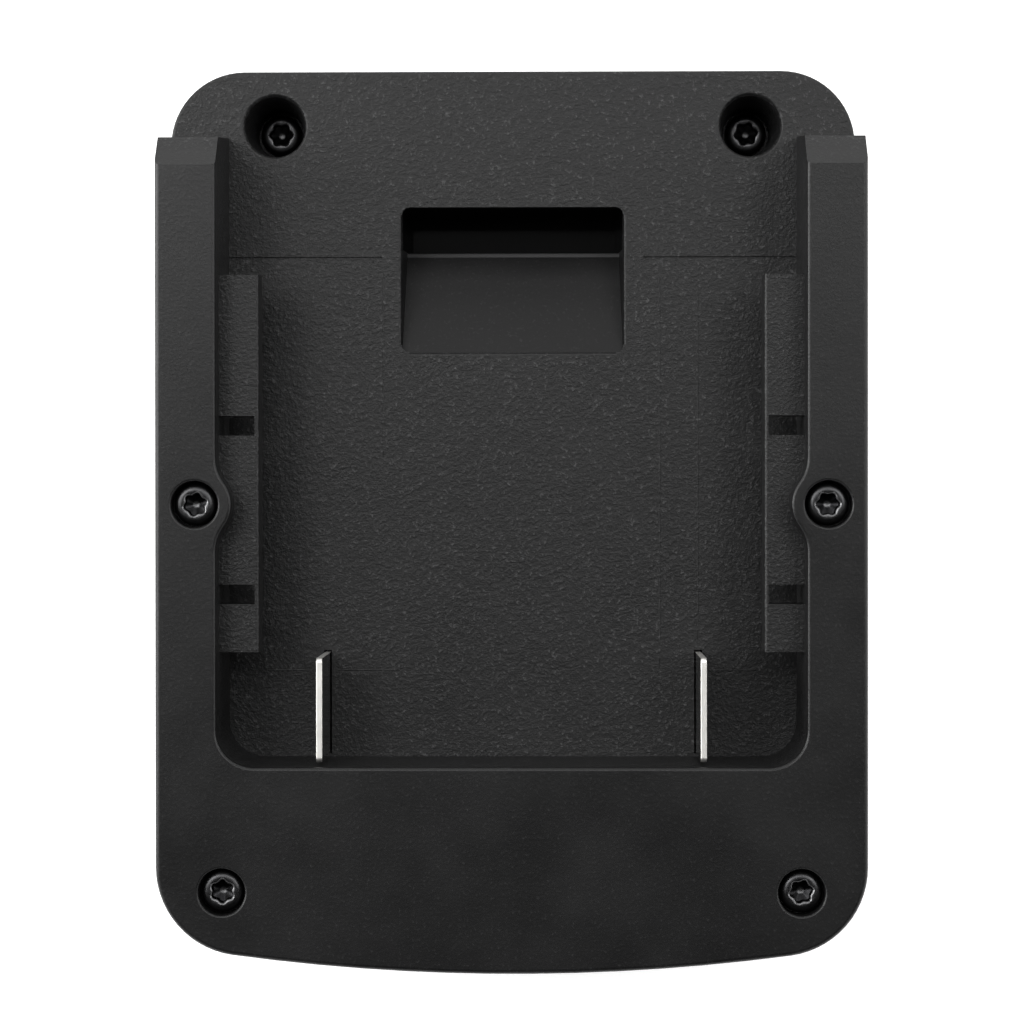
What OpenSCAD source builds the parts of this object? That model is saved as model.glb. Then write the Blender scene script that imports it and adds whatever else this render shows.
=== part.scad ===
// Slide-on battery adapter: the battery enters the bay on top, the T block below slides onto a tool.
// X runs across, +Y points to the entry end of the bay, +Z points out of the bay.
// The slide face of the T block lies on z = 0 and the body is centred on x = 0, y = 0.

/* [Body] */
// Width over the side rails
body_w = 72; // [71.5:0.5:80]
// Length from entry end to closed end
body_l = 93; // [91:0.5:105]
// Distance between the centres of the upright corners at the closed end
corner_span = 54; // [52.8:0.3:54.9]
// Radius of the upright corners at the entry end
entry_corner_r = 7.8; // [7:0.1:8.5]
// Wall thickness of both mouldings
wall = 2.2; // [1.8:0.1:2.6]
// Rounding of the outer rim edge
rim_edge_r = 0.5; // [0.2:0.05:0.8]
// Height from the slide face to the rim
body_h = 40; // [39.5:0.5:46]
// Height of the tray wall below the bay floor
skirt_h = 6; // [5.5:0.1:6.5]
// Depth of the V line where tray and cover meet
part_line = 0.3; // [0.1:0.05:0.4]
// Rounding of the cover's shoulder edge
shoulder_edge_r = 1.2; // [0.6:0.1:1.6]

/* [Battery bay] */
// Width between the bay walls
bay_w = 59.7; // [59:0.1:60.1]
// Depth from rim to bay floor
bay_depth = 13; // [12.5:0.1:13.5]
// Length of the closed end block behind the bay
end_block_l = 20.9; // [20:0.1:22]
// Radius of the bay's two inner corners
bay_corner_r = 3.8; // [3:0.1:4.5]
// Thickness of the bay floor
floor_t = 2.5; // [2:0.1:3]
// Rounding of the inner rim edge
bay_edge_r = 0.35; // [0.15:0.05:0.5]
// Distance from the entry end to the rail ends
rail_setback = 8.1; // [7.4:0.1:9]
// How far the foot of each rail end stands out
rail_foot = 1.1; // [0.4:0.1:1.5]
// Length of the slope on each rail end
rail_slope_l = 3.1; // [2:0.1:4]
// Drop of the slope on each rail end
rail_slope_drop = 2.8; // [1.5:0.1:4]
// Distance from the entry end to the mould line across the floor
mould_line_setback = 19.65; // [18:0.1:21]
// Width of the mould line
mould_line_w = 0.28; // [0.1:0.02:0.3]
// Depth of the mould line
mould_line_d = 0.24; // [0.06:0.02:0.3]

/* [Holding lips] */
// How far each lip hangs over the floor
lip_overhang = 4.1; // [3:0.1:5]
// Drop from rim to lip top
lip_drop = 3.2; // [2.5:0.1:4]
// Lip thickness
lip_t = 3.8; // [3.6:0.1:4.6]
// Lip length
lip_l = 38.5; // [34:0.5:42]
// Distance from the bay's end wall to the lip
lip_setback = 11.5; // [11.2:0.1:14]
// Distance from the lip end to the first notch
notch_first = 5.9; // [4.5:0.1:7]
// Distance between the two notches
notch_pitch = 17.2; // [12:0.1:20]
// Notch width
notch_w = 2; // [1:0.1:3]
// Thin web left at the lip's inner edge
notch_web = 0.45; // [0.3:0.05:0.8]

/* [Catch pocket] */
// Pocket width
pocket_w = 23.3; // [18:0.1:24]
// Pocket length
pocket_l = 15.3; // [14:0.1:16]
// Distance from the entry end to the pocket's upright wall
pocket_setback = 14.3; // [14.2:0.1:15.5]
// Step down at the ramp's upper end
ramp_step = 0.5; // [0.4:0.1:0.8]
// Depth of the ramp at its low end
ramp_drop = 5.8; // [4:0.1:6.4]
// Length of the deep slot behind the ramp
slot_l = 4.4; // [4.3:0.1:5.5]
// Depth of the deep slot
slot_d = 11; // [9:0.1:11.2]
// Slope of the pocket's side walls, in mm per mm of depth
pocket_draft = 0.06; // [0.04:0.005:0.1]
// Rounding of the pocket's mouth
pocket_edge_r = 0.3; // [0.15:0.05:0.4]
// Cut of the pocket's corners
pocket_corner = 0.8; // [0.4:0.1:1.2]
// Wall round the pocket
pocket_wall = 1.4; // [1:0.1:1.6]

/* [Screws] */
// Head diameter of the housing screws
head_d = 4.4; // [3.8:0.1:4.4]
// Head height of the housing screws
head_h = 1.8; // [1.4:0.1:2]
// Shank diameter of the housing screws
shank_d = 2.6; // [2.2:0.1:2.8]
// Outer width of the six-lobe drive
drive_d = 2.3; // [1.8:0.1:2.4]
// Depth of the six-lobe drive
drive_depth = 1.2; // [0.8:0.1:1.3]
// Rounding of the screw holes' mouths
mouth_edge_r = 0.25; // [0.15:0.05:0.35]
// Diameter of the recess round a rim screw
recess_d = 4.75; // [4.6:0.05:5.2]
// Depth of a rim screw's head below the rim
rim_head_drop = 0.6; // [0.3:0.1:1.2]
// Distance of the rail screws behind the bay wall
rail_screw_inset = 2.15; // [1.9:0.05:2.4]
// Distance of the rail screws from the bay's end wall
rail_screw_setback = 26.6; // [22:0.1:30]
// Bulge of the rail round each rail screw
bulge_r = 3.75; // [3.5:0.05:4]
// Distance of the closed end screws from the side
closed_screw_edge = 6.7; // [6.2:0.1:7.5]
// Distance of the closed end screws from the closed end
closed_screw_setback = 8.3; // [7.5:0.1:9]
// Distance of the entry end screws from the side
entry_screw_edge = 11; // [10:0.1:12]
// Distance of the entry end screws from the entry end
entry_screw_setback = 5.8; // [5.5:0.1:6.5]
// Mouth diameter of the entry end screw holes
entry_mouth_d = 6.5; // [6:0.1:7]
// Seat diameter of the entry end screw holes
entry_seat_d = 5; // [4.8:0.1:5.4]
// Depth of the entry screw seats below the floor
entry_seat_drop = 8.7; // [7.5:0.1:9]
// Radius of the screw posts inside
post_r = 3.6; // [3.4:0.1:3.8]

/* [Battery blades] */
// Distance between the two blades
blade_pitch = 39; // [36:0.5:42]
// Blade thickness
blade_t = 0.65; // [0.6:0.05:1]
// Blade length in the bay
blade_l = 10.6; // [9:0.1:10.8]
// Gap ahead of each blade in its slot
blade_gap = 0.2; // [0.1:0.1:1.1]
// Depth of the blade's edge below the rim
blade_drop = 1.4; // [0.8:0.1:4]
// Length of the solder tail
blade_tail_l = 5; // [4:0.1:6]
// Height of the clamped shoulder
blade_shoulder_h = 2.2; // [1.8:0.1:2.6]
// Thickness of the bar that clamps both blades
retainer_t = 2.3; // [2:0.1:2.8]
// Depth of that bar
retainer_l = 8; // [7:0.1:9]
// Distance between the bar's screws
retainer_pitch = 20; // [14:0.5:24]

/* [Tool side] */
// Width over the T block's head
head_w = 58; // [56:0.5:60]
// Width of the T block's neck
neck_w = 50; // [48:0.5:50.5]
// Thickness of the T block's head
head_t = 4.5; // [4:0.1:4.8]
// Height of the groove for the tool's rails
groove_h = 5; // [4.6:0.1:5.6]
// Distance of the T block's ends from the body's ends
block_setback = 3.5; // [3.4:0.1:3.8]
// Cut corner that leads the T block into the tool
lead_in = 2.5; // [1:0.1:3.2]
// Width of the recess round the catch
catch_recess_w = 30; // [28:0.5:31]
// Depth of the recess round the catch
catch_recess_d = 5.5; // [5.1:0.1:5.8]
// Length of the recess round the catch
catch_recess_l = 16; // [14:0.1:16.5]
// Distance between the two contacts
contact_pitch = 22; // [19:0.5:23]
// Width of the contact slots
contact_slot_w = 1.8; // [1.4:0.1:2.4]
// Length of the contact slots
contact_slot_l = 12; // [9:0.1:13]
// Height of the contact slots in the end wall
contact_slot_h = 8.4; // [7:0.1:9]
// Sheet thickness of the contacts
contact_t = 0.4; // [0.3:0.05:0.6]
// Height of the contact leaves
contact_h = 5.6; // [4.5:0.1:6]
// Outer diameter of the leads
lead_d = 2.8; // [2.2:0.1:3]

/* [Latch] */
// Travel of the latch
latch_travel = 3.5; // [2.5:0.1:3.6]
// Width of the catch
catch_w = 20; // [16:0.5:20.5]
// Length of the catch
catch_l = 3.8; // [3.2:0.1:4]
// Height of the catch tip over the slide face
catch_tip_z = 1.2; // [0.8:0.1:1.8]
// Width of the thumb pad
pad_w = 25; // [22:0.5:26]
// Height of the thumb pad
pad_h = 7; // [6:0.1:7]
// Spring wire diameter
spring_wire = 0.6; // [0.5:0.05:0.7]
// Spring outer diameter
spring_d = 4.6; // [4.2:0.1:4.8]
// Turns of each spring
spring_turns = 7; // [5:1:8]
// Distance between the two springs
spring_pitch = 20.4; // [20:0.1:21]

/* [Fits] */
// Gap round moving pieces
run_gap = 0.4; // [0.35:0.05:0.5]
// Gap between fixed pieces
fit_gap = 0.1; // [0.05:0.01:0.15]

/* [Hidden] */
$fn = 64;
over = 1;
half_w = body_w / 2;
entry_y = body_l / 2;
closed_y = -body_l / 2;
corner_x = corner_span / 2;
corner_r = half_w - corner_x;
entry_corner_x = half_w - entry_corner_r;
entry_corner_y = entry_y - entry_corner_r;
// The bowed end meets the corners on a 15-112-113 triangle, so every joint has an exact place
bow_step = corner_x / 15;
end_arc_r = 113 * bow_step + corner_r;
arc_y = closed_y + end_arc_r;
closed_corner_y = arc_y - 112 * bow_step;
bow_dir = [0.15, -1.12];

shoulder_z = head_t + groove_h;
cover_h = body_h - shoulder_z - skirt_h - bay_depth;
part_z = shoulder_z + cover_h;
floor_z = part_z + skirt_h;
under_z = floor_z - floor_t;
rim_z = floor_z + bay_depth;
inner_z = shoulder_z + wall;

bay_x = bay_w / 2;
bay_end_y = closed_y + end_block_l;
bay_corner_x = bay_x - bay_corner_r;
bay_corner_y = bay_end_y + bay_corner_r;
rail_end_y = entry_y - rail_setback;
rail_foot_y = rail_end_y + rail_foot;
lip_top_z = rim_z - lip_drop;
lip_y = bay_end_y + lip_setback;
pocket_y1 = entry_y - pocket_setback;
pocket_y0 = pocket_y1 - pocket_l;
ramp_y = pocket_y1 - slot_l;
pocket_edge_l = pocket_l - 2 * pocket_corner;
pocket_mid_y = pocket_y0 + pocket_l / 2;
tongue_t = wall / 2;
tongue_h = 1.2;

rail_screw_x = bay_x + rail_screw_inset;
rail_screw_y = bay_end_y + rail_screw_setback;
closed_screw_x = half_w - closed_screw_edge;
closed_screw_y = closed_y + closed_screw_setback;
entry_screw_x = half_w - entry_screw_edge;
entry_screw_y = entry_y - entry_screw_setback;
rim_seat_z = rim_z - rim_head_drop - head_h;
entry_seat_z = floor_z - entry_seat_drop;
entry_foot_z = entry_seat_z - 2;
rim_tip_z = inner_z + 1.5;
entry_tip_z = shoulder_z + 1.6;
rim_post_x = [rail_screw_x, closed_screw_x];
rim_post_y = [rail_screw_y, closed_screw_y];

// Blend circles beside each bulge meet it on a 3-4-5 triangle, so every joint has an exact direction
bulge_blend_r = (0.8 * bulge_r - rail_screw_inset) / 0.2;
blend_x = bay_x - bulge_blend_r;
blend_dy = 0.6 * (bulge_r + bulge_blend_r);

blade_x = blade_pitch / 2;
blade_y0 = bay_end_y + 0.4;
tip_r = 0.5;
blade_y1 = blade_y0 + blade_l;
blade_top_z = rim_z - blade_drop;
blade_mid_y = (blade_y0 + blade_y1) / 2;
shoulder_over = 1.6;
retainer_top_z = under_z - blade_shoulder_h;
retainer_z = retainer_top_z - retainer_t;
retainer_w = blade_pitch + 8;
blade_tail_z = retainer_z - 4;
small_shank_d = 2;
small_head_d = 3.8;
small_head_h = 1.4;

block_y0 = closed_y + block_setback;
block_y1 = entry_y - block_setback;
recess_y = block_y1 - catch_recess_l;
deck_z = catch_recess_d + wall;
hollow_x = neck_w / 2 - wall;
hollow_y0 = block_y0 + wall;
hollow_y1 = recess_y - wall;
recess_x = catch_recess_w / 2;

contact_x = contact_pitch / 2;
jaw = 1.8;
contact_tail_w = 3;
carrier_y0 = hollow_y0 + 0.3;
carrier_l = 16;
carrier_w = contact_pitch + 10;
carrier_h = 7.6;
carrier_y1 = carrier_y0 + carrier_l;
ear_x = carrier_w / 2 + 2.6;
ear_y = carrier_y1 - 4;
ear_z = wall + 3.6;
ear_t = 2;
contact_base_y = carrier_y1 - 2;
contact_z = wall + 0.8;
contact_tail_z = contact_z + contact_h + 3.4;
wire_r = lead_d * 0.3;

// Slider levels at rest
flange_z = deck_z + fit_gap;
flange_t = 3;
flange_top_z = flange_z + flange_t;
latch_y1 = block_y1 - wall - run_gap;
latch_y0 = latch_y1 - 6.6;
flange_w = spring_pitch + spring_d + 1.2;
catch_y1 = latch_y1 - run_gap;
catch_y0 = catch_y1 - catch_l;
upright_w = spring_pitch - spring_d - 1.6;
upright_t = 2.4;
cup_d = 1;
spring_y = (latch_y0 + latch_y1) / 2;
spring_x = spring_pitch / 2;
spring_foot_z = flange_top_z - cup_d;
spring_pin_d = spring_d - 2 * spring_wire - 0.9;
pad_z = inner_z + 0.7;
window_z0 = pad_z - run_gap;
window_z1 = pad_z + pad_h + latch_travel + run_gap;
window_x = pad_w / 2 + run_gap;
pad_face_y = entry_y - 0.9;
pad_back_y = entry_y - wall - run_gap;
flange_back_y = pad_back_y - 1.1;
peg_d = 2.4;
peg_x = upright_w / 2 - 2.6;
peg_z = pad_z + pad_h / 2;
upright_top_z = pad_z + pad_h - 0.4;
well_x = flange_w / 2 + run_gap;
head_edge_r = 0.6;

BLACK = [0.10, 0.10, 0.11];
GREY = [0.22, 0.22, 0.24];
STEEL = [0.30, 0.30, 0.32];
PLATED = [0.75, 0.74, 0.70];
COPPER = [0.72, 0.48, 0.28];
RED = [0.70, 0.12, 0.10];

// Shared 2D outlines

// Outline of both mouldings, drawn in by inset
module body_outline(inset = 0) {
    translate([-half_w + inset, closed_corner_y])
        square([body_w - 2 * inset, entry_corner_y - closed_corner_y]);
    translate([-entry_corner_x, entry_corner_y])
        square([2 * entry_corner_x, entry_corner_r - inset]);
    for (sx = [-1, 1]) {
        translate([sx * entry_corner_x, entry_corner_y])
            circle(entry_corner_r - inset);
        translate([sx * corner_x, closed_corner_y])
            circle(corner_r - inset);
    }
    intersection() {
        translate([0, arc_y])
            circle(end_arc_r - inset);
        polygon([
            [-corner_x, closed_corner_y], [corner_x, closed_corner_y],
            [corner_x, closed_corner_y] + 20 * bow_dir, [-corner_x - 20 * bow_dir.x, closed_corner_y + 20 * bow_dir.y]
        ]);
    }
}

// Plan of the rail's bulge round one rail screw
module bulge() {
    translate([rail_screw_x, rail_screw_y])
        circle(bulge_r);
    difference() {
        translate([0, rail_screw_y])
            polygon([
                [rail_screw_x, 0], [blend_x, blend_dy], [bay_x + over, blend_dy],
                [bay_x + over, -blend_dy], [blend_x, -blend_dy]
            ]);
        for (sy = [-1, 1])
            translate([blend_x, rail_screw_y + sy * blend_dy])
                circle(bulge_blend_r);
    }
}

// Plan of the bay, open past the entry end
module bay_outline() {
    difference() {
        union() {
            translate([-bay_x, bay_corner_y])
                square([bay_w, entry_y + over - bay_corner_y]);
            translate([-bay_corner_x, bay_end_y])
                square([2 * bay_corner_x, bay_corner_r]);
            for (sx = [-1, 1])
                translate([sx * bay_corner_x, bay_corner_y])
                    circle(bay_corner_r);
        }
        bulge();
        mirror([1, 0])
            bulge();
    }
}

// Edge rounding cutters: u points away from the wall, v away from the face

// The first and last facets run on past the surfaces they meet
function edge_points(r) =
    let (
        arc = [for (a = [0 : 30 : 90]) [r * sin(a) - r, r * cos(a) - r]],
        top = 1.5 * arc[0] - 0.5 * arc[1],
        low = 1.5 * arc[3] - 0.5 * arc[2]
    )
    [top, arc[1], arc[2], low, [over, low.y], [over, over], [top.x, over]];

module edge_profile(r) {
    polygon(edge_points(r));
}

// Cutter along a straight edge whose wall faces the given direction
module edge_line(mid, facing, l, z, r, up = 1) {
    translate([mid.x, mid.y, z])
        rotate([0, 0, facing])
            rotate([90, 0, 0])
                linear_extrude(l, center = true)
                    scale([1, up])
                        edge_profile(r);
}

// Cutter round the part of a circle between directions a and b;
// side is 1 where the wall faces away from the centre and -1 where it faces it;
// start moves the beginning off the line through the centre
module edge_arc(centre, arc_r, a, b, z, r, side = 1, up = 1, start = [0, 0]) {
    reach = 1.2 * arc_r + 4;
    intersection() {
        translate([centre.x, centre.y, z])
            rotate_extrude()
                translate([arc_r, 0])
                    scale([side, up])
                        edge_profile(r);
        translate([0, 0, z - 2 * over])
            linear_extrude(4 * over)
                polygon([
                    centre + start, centre + start + reach * a, centre + reach * (a + b), centre + reach * b
                ]);
    }
}

// Rounds the outer edge of the rails and closed end; the bow's cutter runs on into the corners' cutters
module round_rails(z, r, y1, up = 1) {
    l = y1 - closed_corner_y;
    flip = [-bow_dir.x, bow_dir.y];
    past = [0.01, 0];
    difference() {
        difference() {
            children();
            edge_arc([0, arc_y], end_arc_r, bow_dir + past, flip - past, z, r, 1, up);
        }
        edge_line([half_w, y1 - l / 2], 0, l, z, r, up);
        edge_line([-half_w, y1 - l / 2], 180, l, z, r, up);
        edge_arc([corner_x, closed_corner_y], corner_r, [1, 0], bow_dir, z, r, 1, up);
        edge_arc([-corner_x, closed_corner_y], corner_r, [-1, 0], flip, z, r, 1, up);
    }
}

// Rounds the edge of the entry end, from y0 on
module round_entry(z, r, y0, up = 1) {
    start = [0, y0 - entry_corner_y];
    difference() {
        children();
        edge_line([0, entry_y], 90, 2 * entry_corner_x, z, r, up);
        edge_arc([entry_corner_x, entry_corner_y], entry_corner_r, [1, 0], [0, 1], z, r, 1, up, start);
        edge_arc([-entry_corner_x, entry_corner_y], entry_corner_r, [-1, 0], [0, 1], z, r, 1, up, start);
    }
}

// Rounds the inner rim edge, bulges included
module round_bay(z, r) {
    low_l = rail_screw_y - blend_dy - bay_corner_y;
    top_l = rail_end_y - rail_screw_y - blend_dy;
    difference() {
        children();
        edge_line([0, bay_end_y], 90, 2 * bay_corner_x, z, r);
        for (sx = [0, 1])
            mirror([sx, 0, 0])
                edge_line([bay_x, bay_corner_y + low_l / 2], 180, low_l, z, r);
        for (sx = [0, 1])
            mirror([sx, 0, 0])
                edge_line([bay_x, rail_end_y - top_l / 2], 180, top_l, z, r);
        for (sx = [0, 1])
            mirror([sx, 0, 0])
                edge_arc([blend_x, rail_screw_y + blend_dy], bulge_blend_r, [1, 0], [0.8, -0.6], z, r, -1);
        for (sx = [0, 1])
            mirror([sx, 0, 0])
                edge_arc([blend_x, rail_screw_y - blend_dy], bulge_blend_r, [1, 0], [0.8, 0.6], z, r, -1);
        for (sx = [0, 1])
            mirror([sx, 0, 0])
                edge_arc([rail_screw_x, rail_screw_y], bulge_r, [-0.8, 0.6], [-0.8, -0.6], z, r);
        for (sx = [0, 1])
            mirror([sx, 0, 0])
                edge_arc([bay_corner_x, bay_corner_y], bay_corner_r, [1, 0], [0, -1], z, r, -1);
    }
}

// Battery tray

module lip() {
    lip_bottom_z = lip_top_z - lip_t;
    difference() {
        translate([bay_x - lip_overhang, lip_y, lip_bottom_z])
            cube([lip_overhang + over, lip_l, lip_t]);
        for (i = [0, 1])
            translate([bay_x - lip_overhang + notch_web, lip_y + notch_first + i * notch_pitch - notch_w / 2,
                       lip_bottom_z - over])
                cube([lip_overhang - notch_web, notch_w, lip_t + 2 * over]);
        edge_line([bay_x - lip_overhang, lip_y + lip_l / 2], 180, lip_l, lip_top_z, bay_edge_r);
        edge_line([bay_x - lip_overhang, lip_y + lip_l / 2], 180, lip_l, lip_bottom_z, bay_edge_r, -1);
    }
}

// Side view of the pocket's space, y across and z up, with the ramp's low edge rounded in three steps
module pocket_side() {
    r = pocket_edge_r;
    steep = atan2(ramp_drop - ramp_step, ramp_y - pocket_y0);
    centre = [ramp_y - r, floor_z - ramp_step - (r + sin(steep) * (ramp_y - r - pocket_y0)) / cos(steep)];
    edge = [for (i = [0 : 3]) centre + r * [cos((90 - steep) * (1 - i / 3)), sin((90 - steep) * (1 - i / 3))]];
    polygon([
        [pocket_y0, floor_z - ramp_step], edge[0], edge[1], edge[2], edge[3], [ramp_y, floor_z - slot_d],
        [pocket_y1, floor_z - slot_d], [pocket_y1, floor_z + over], [pocket_y0, floor_z + over]
    ]);
}

// End view of the pocket's drafted walls
module pocket_end() {
    top = pocket_w / 2 + pocket_draft * over;
    low = pocket_w / 2 - pocket_draft * (slot_d + over);
    polygon([
        [-top, floor_z + over], [-low, floor_z - slot_d - over], [low, floor_z - slot_d - over], [top, floor_z + over]
    ]);
}

// Half of the pocket's plan, its corners cut round in three steps
function pocket_half(sx) =
    let (x = pocket_w / 2 + over, w = pocket_w / 2, c = pocket_corner, y0 = pocket_y0, y1 = pocket_y1)
    [for (p = [
        [w - c, y0 - over], [w - c, y0], [w - 0.5 * c, y0 + 0.134 * c], [w - 0.134 * c, y0 + 0.5 * c], [w, y0 + c],
        [x, y0 + c], [x, y1 - c],
        [w, y1 - c], [w - 0.134 * c, y1 - 0.5 * c], [w - 0.5 * c, y1 - 0.134 * c], [w - c, y1], [w - c, y1 + over]
    ]) [sx * p.x, p.y]];

module pocket_plan() {
    left = pocket_half(-1);
    polygon(concat(pocket_half(1), [for (i = [1 : len(left)]) left[len(left) - i]]));
}

module pocket_space() {
    intersection() {
        across(pocket_w + 2 * over)
            pocket_side();
        translate([0, pocket_y1 + over, 0])
            rotate([90, 0, 0])
                linear_extrude(pocket_l + 2 * over)
                    pocket_end();
        translate([0, 0, floor_z - slot_d - over])
            linear_extrude(slot_d + 3 * over)
                pocket_plan();
    }
}

// Cutter round the mouth of a round hole
module edge_ring(d, r) {
    rotate_extrude()
        translate([d / 2, 0])
            scale([-1, 1])
                edge_profile(r);
}

// Side view of the box round that space
module pocket_box() {
    polygon([
        [pocket_y0 + 2, under_z + over], [pocket_y0 + 2, under_z - 0.4],
        [ramp_y - pocket_wall, floor_z - ramp_drop - pocket_wall],
        [ramp_y - pocket_wall, floor_z - slot_d - pocket_wall],
        [pocket_y1 + pocket_wall, floor_z - slot_d - pocket_wall],
        [pocket_y1 + pocket_wall, under_z + over]
    ]);
}

// Stands a side view up across the body
module across(w) {
    translate([-w / 2, 0, 0])
        rotate([90, 0, 90])
            linear_extrude(w)
                children();
}

// Space under the rim of the closed end block and rails
module frame_hollow() {
    intersection() {
        translate([0, 0, part_z - over])
            linear_extrude(rim_z - wall - part_z + over)
                body_outline(wall);
        translate([-half_w, closed_y, part_z - over])
            cube([body_w, end_block_l - wall, rim_z]);
    }
}

// Post round an entry end screw, kept clear of the cover's wall below the parting line
module entry_post(sx) {
    intersection() {
        translate([sx * entry_screw_x, entry_screw_y, entry_foot_z])
            cylinder(r = entry_mouth_d / 2 + 1.2, h = floor_z - entry_foot_z - floor_t / 2);
        translate([0, 0, entry_foot_z - over])
            linear_extrude(floor_z)
                body_outline(wall + fit_gap);
    }
}

// Tray wall, rim and floor before lips, posts and holes are added
module tray_shell() {
    round_rails(rim_z, rim_edge_r, rail_end_y)
        round_rails(part_z, part_line, entry_corner_y, -1)
            round_entry(part_z, part_line, entry_corner_y, -1)
                round_entry(floor_z, bay_edge_r, rail_foot_y)
                    round_bay(rim_z, bay_edge_r)
                        difference() {
                            translate([0, 0, part_z])
                                linear_extrude(rim_z - part_z)
                                    body_outline();
                            translate([0, 0, floor_z])
                                linear_extrude(bay_depth + over)
                                    bay_outline();
                            across(body_w + 2 * over)
                                polygon([
                                    [rail_foot_y, floor_z], [rail_end_y, rim_z - rail_slope_drop],
                                    [rail_end_y, rim_z + over], [entry_y + over, rim_z + over],
                                    [entry_y + over, floor_z]
                                ]);
                            translate([0, 0, part_z - over])
                                linear_extrude(under_z - part_z + over)
                                    body_outline(wall);
                            frame_hollow();
                        }
}

module battery_tray() {
    color(BLACK)
        difference() {
            union() {
                tray_shell();
                lip();
                mirror([1, 0, 0])
                    lip();
                across(pocket_w + 2 * pocket_wall)
                    pocket_box();
                for (sx = [-1, 1], i = [0, 1])
                    translate([sx * rim_post_x[i], rim_post_y[i], part_z])
                        cylinder(r = post_r, h = rim_z - wall / 2 - part_z);
                for (sx = [-1, 1]) {
                    entry_post(sx);
                    translate([sx * spring_x, spring_y, under_z - 3.5])
                        cylinder(d = spring_pin_d, h = 3.5 + floor_t / 2);
                    translate([sx * retainer_pitch / 2, blade_mid_y, retainer_top_z])
                        cylinder(r = 2.6, h = blade_shoulder_h + floor_t / 2);
                }
            }
            pocket_space();
            for (sx = [0, 1])
                mirror([sx, 0, 0])
                    edge_line([pocket_w / 2, pocket_mid_y], 180, pocket_edge_l, floor_z, pocket_edge_r);
            edge_line([0, pocket_y0], 90, pocket_w - 2 * pocket_corner, floor_z, pocket_edge_r);
            for (sx = [-1, 1], i = [0, 1])
                translate([sx * rim_post_x[i], rim_post_y[i], rim_z])
                    edge_ring(recess_d, mouth_edge_r);
            for (sx = [-1, 1])
                translate([sx * entry_screw_x, entry_screw_y, floor_z])
                    edge_ring(entry_mouth_d, mouth_edge_r);
            across(body_w + 2 * over)
                polygon([
                    [rail_end_y - rail_slope_l, rim_z], [rail_end_y, rim_z - rail_slope_drop],
                    [rail_end_y + over, rim_z - rail_slope_drop], [rail_end_y + over, rim_z + over],
                    [rail_end_y - rail_slope_l, rim_z + over]
                ]);
            for (sx = [-1, 1]) {
                for (i = [0, 1])
                    translate([sx * rim_post_x[i], rim_post_y[i], 0]) {
                        translate([0, 0, rim_seat_z])
                            cylinder(d = recess_d, h = rim_z);
                        translate([0, 0, part_z - over])
                            cylinder(d = shank_d + 2 * fit_gap, h = rim_z);
                    }
                translate([sx * entry_screw_x, entry_screw_y, 0]) {
                    translate([0, 0, entry_seat_z])
                        cylinder(d = entry_seat_d, h = floor_z);
                    translate([0, 0, entry_seat_z + head_h])
                        cylinder(d1 = entry_seat_d, d2 = entry_mouth_d, h = entry_seat_drop - head_h + 0.01);
                    cylinder(d = shank_d + 2 * fit_gap, h = floor_z);
                }
                translate([sx * blade_x - blade_t / 2 - fit_gap, blade_y0 - fit_gap, under_z - over])
                    cube([blade_t + 2 * fit_gap, blade_l + fit_gap + blade_gap, floor_t + 2 * over]);
                translate([sx * retainer_pitch / 2, blade_mid_y, retainer_top_z - over])
                    cylinder(d = small_shank_d + 2 * fit_gap, h = over + blade_shoulder_h + 1.2);
                translate([sx * (bay_x + pocket_w / 2 + 2) / 2, entry_y - mould_line_setback, floor_z])
                    cube([bay_x - pocket_w / 2 - 2.2, mould_line_w, 2 * mould_line_d], center = true);
            }
            // Window for the thumb pad in the entry end wall
            translate([-window_x, entry_y - wall - over, part_z - over])
                cube([2 * window_x, wall + 2 * over, window_z1 - part_z + over]);
            // Rebate for the cover's tongue
            difference() {
                translate([0, 0, part_z - over])
                    linear_extrude(tongue_h + fit_gap + over)
                        body_outline(wall - tongue_t - fit_gap);
                translate([0, 0, part_z - 2 * over])
                    linear_extrude(tongue_h + 4 * over)
                        body_outline(wall + fit_gap);
            }
        }
}

// Tool side cover

// Plan of the T block's head, with its leading corners cut
module block_head() {
    x = head_w / 2;
    polygon([
        [-x, block_y0 + lead_in], [-x + lead_in, block_y0], [x - lead_in, block_y0],
        [x, block_y0 + lead_in], [x, block_y1], [-x, block_y1]
    ]);
}

module t_block() {
    l = block_y1 - block_y0 - lead_in;
    difference() {
        union() {
            linear_extrude(head_t)
                block_head();
            translate([-neck_w / 2, block_y0, head_t / 2])
                cube([neck_w, block_y1 - block_y0, groove_h + head_t / 2 + wall / 2]);
        }
        edge_line([head_w / 2, block_y1 - l / 2], 0, l + over, 0, head_edge_r, -1);
        edge_line([-head_w / 2, block_y1 - l / 2], 180, l + over, 0, head_edge_r, -1);
        edge_line([0, block_y0], 270, head_w, 0, head_edge_r, -1);
        edge_line([0, block_y1], 90, head_w + over, 0, head_edge_r, -1);
    }
}

// Outer shape of the cover: shoulder, wall, tongue and T block
module cover_shell() {
    round_entry(shoulder_z, shoulder_edge_r, entry_corner_y, -1)
        round_rails(shoulder_z, shoulder_edge_r, entry_corner_y, -1)
            round_entry(part_z, part_line, entry_corner_y)
                round_rails(part_z, part_line, entry_corner_y)
                    translate([0, 0, shoulder_z])
                        linear_extrude(cover_h)
                            body_outline();
    translate([0, 0, part_z - over])
        linear_extrude(tongue_h + over)
            difference() {
                body_outline(wall - tongue_t);
                body_outline(wall + 0.01);
            }
    t_block();
}

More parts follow.
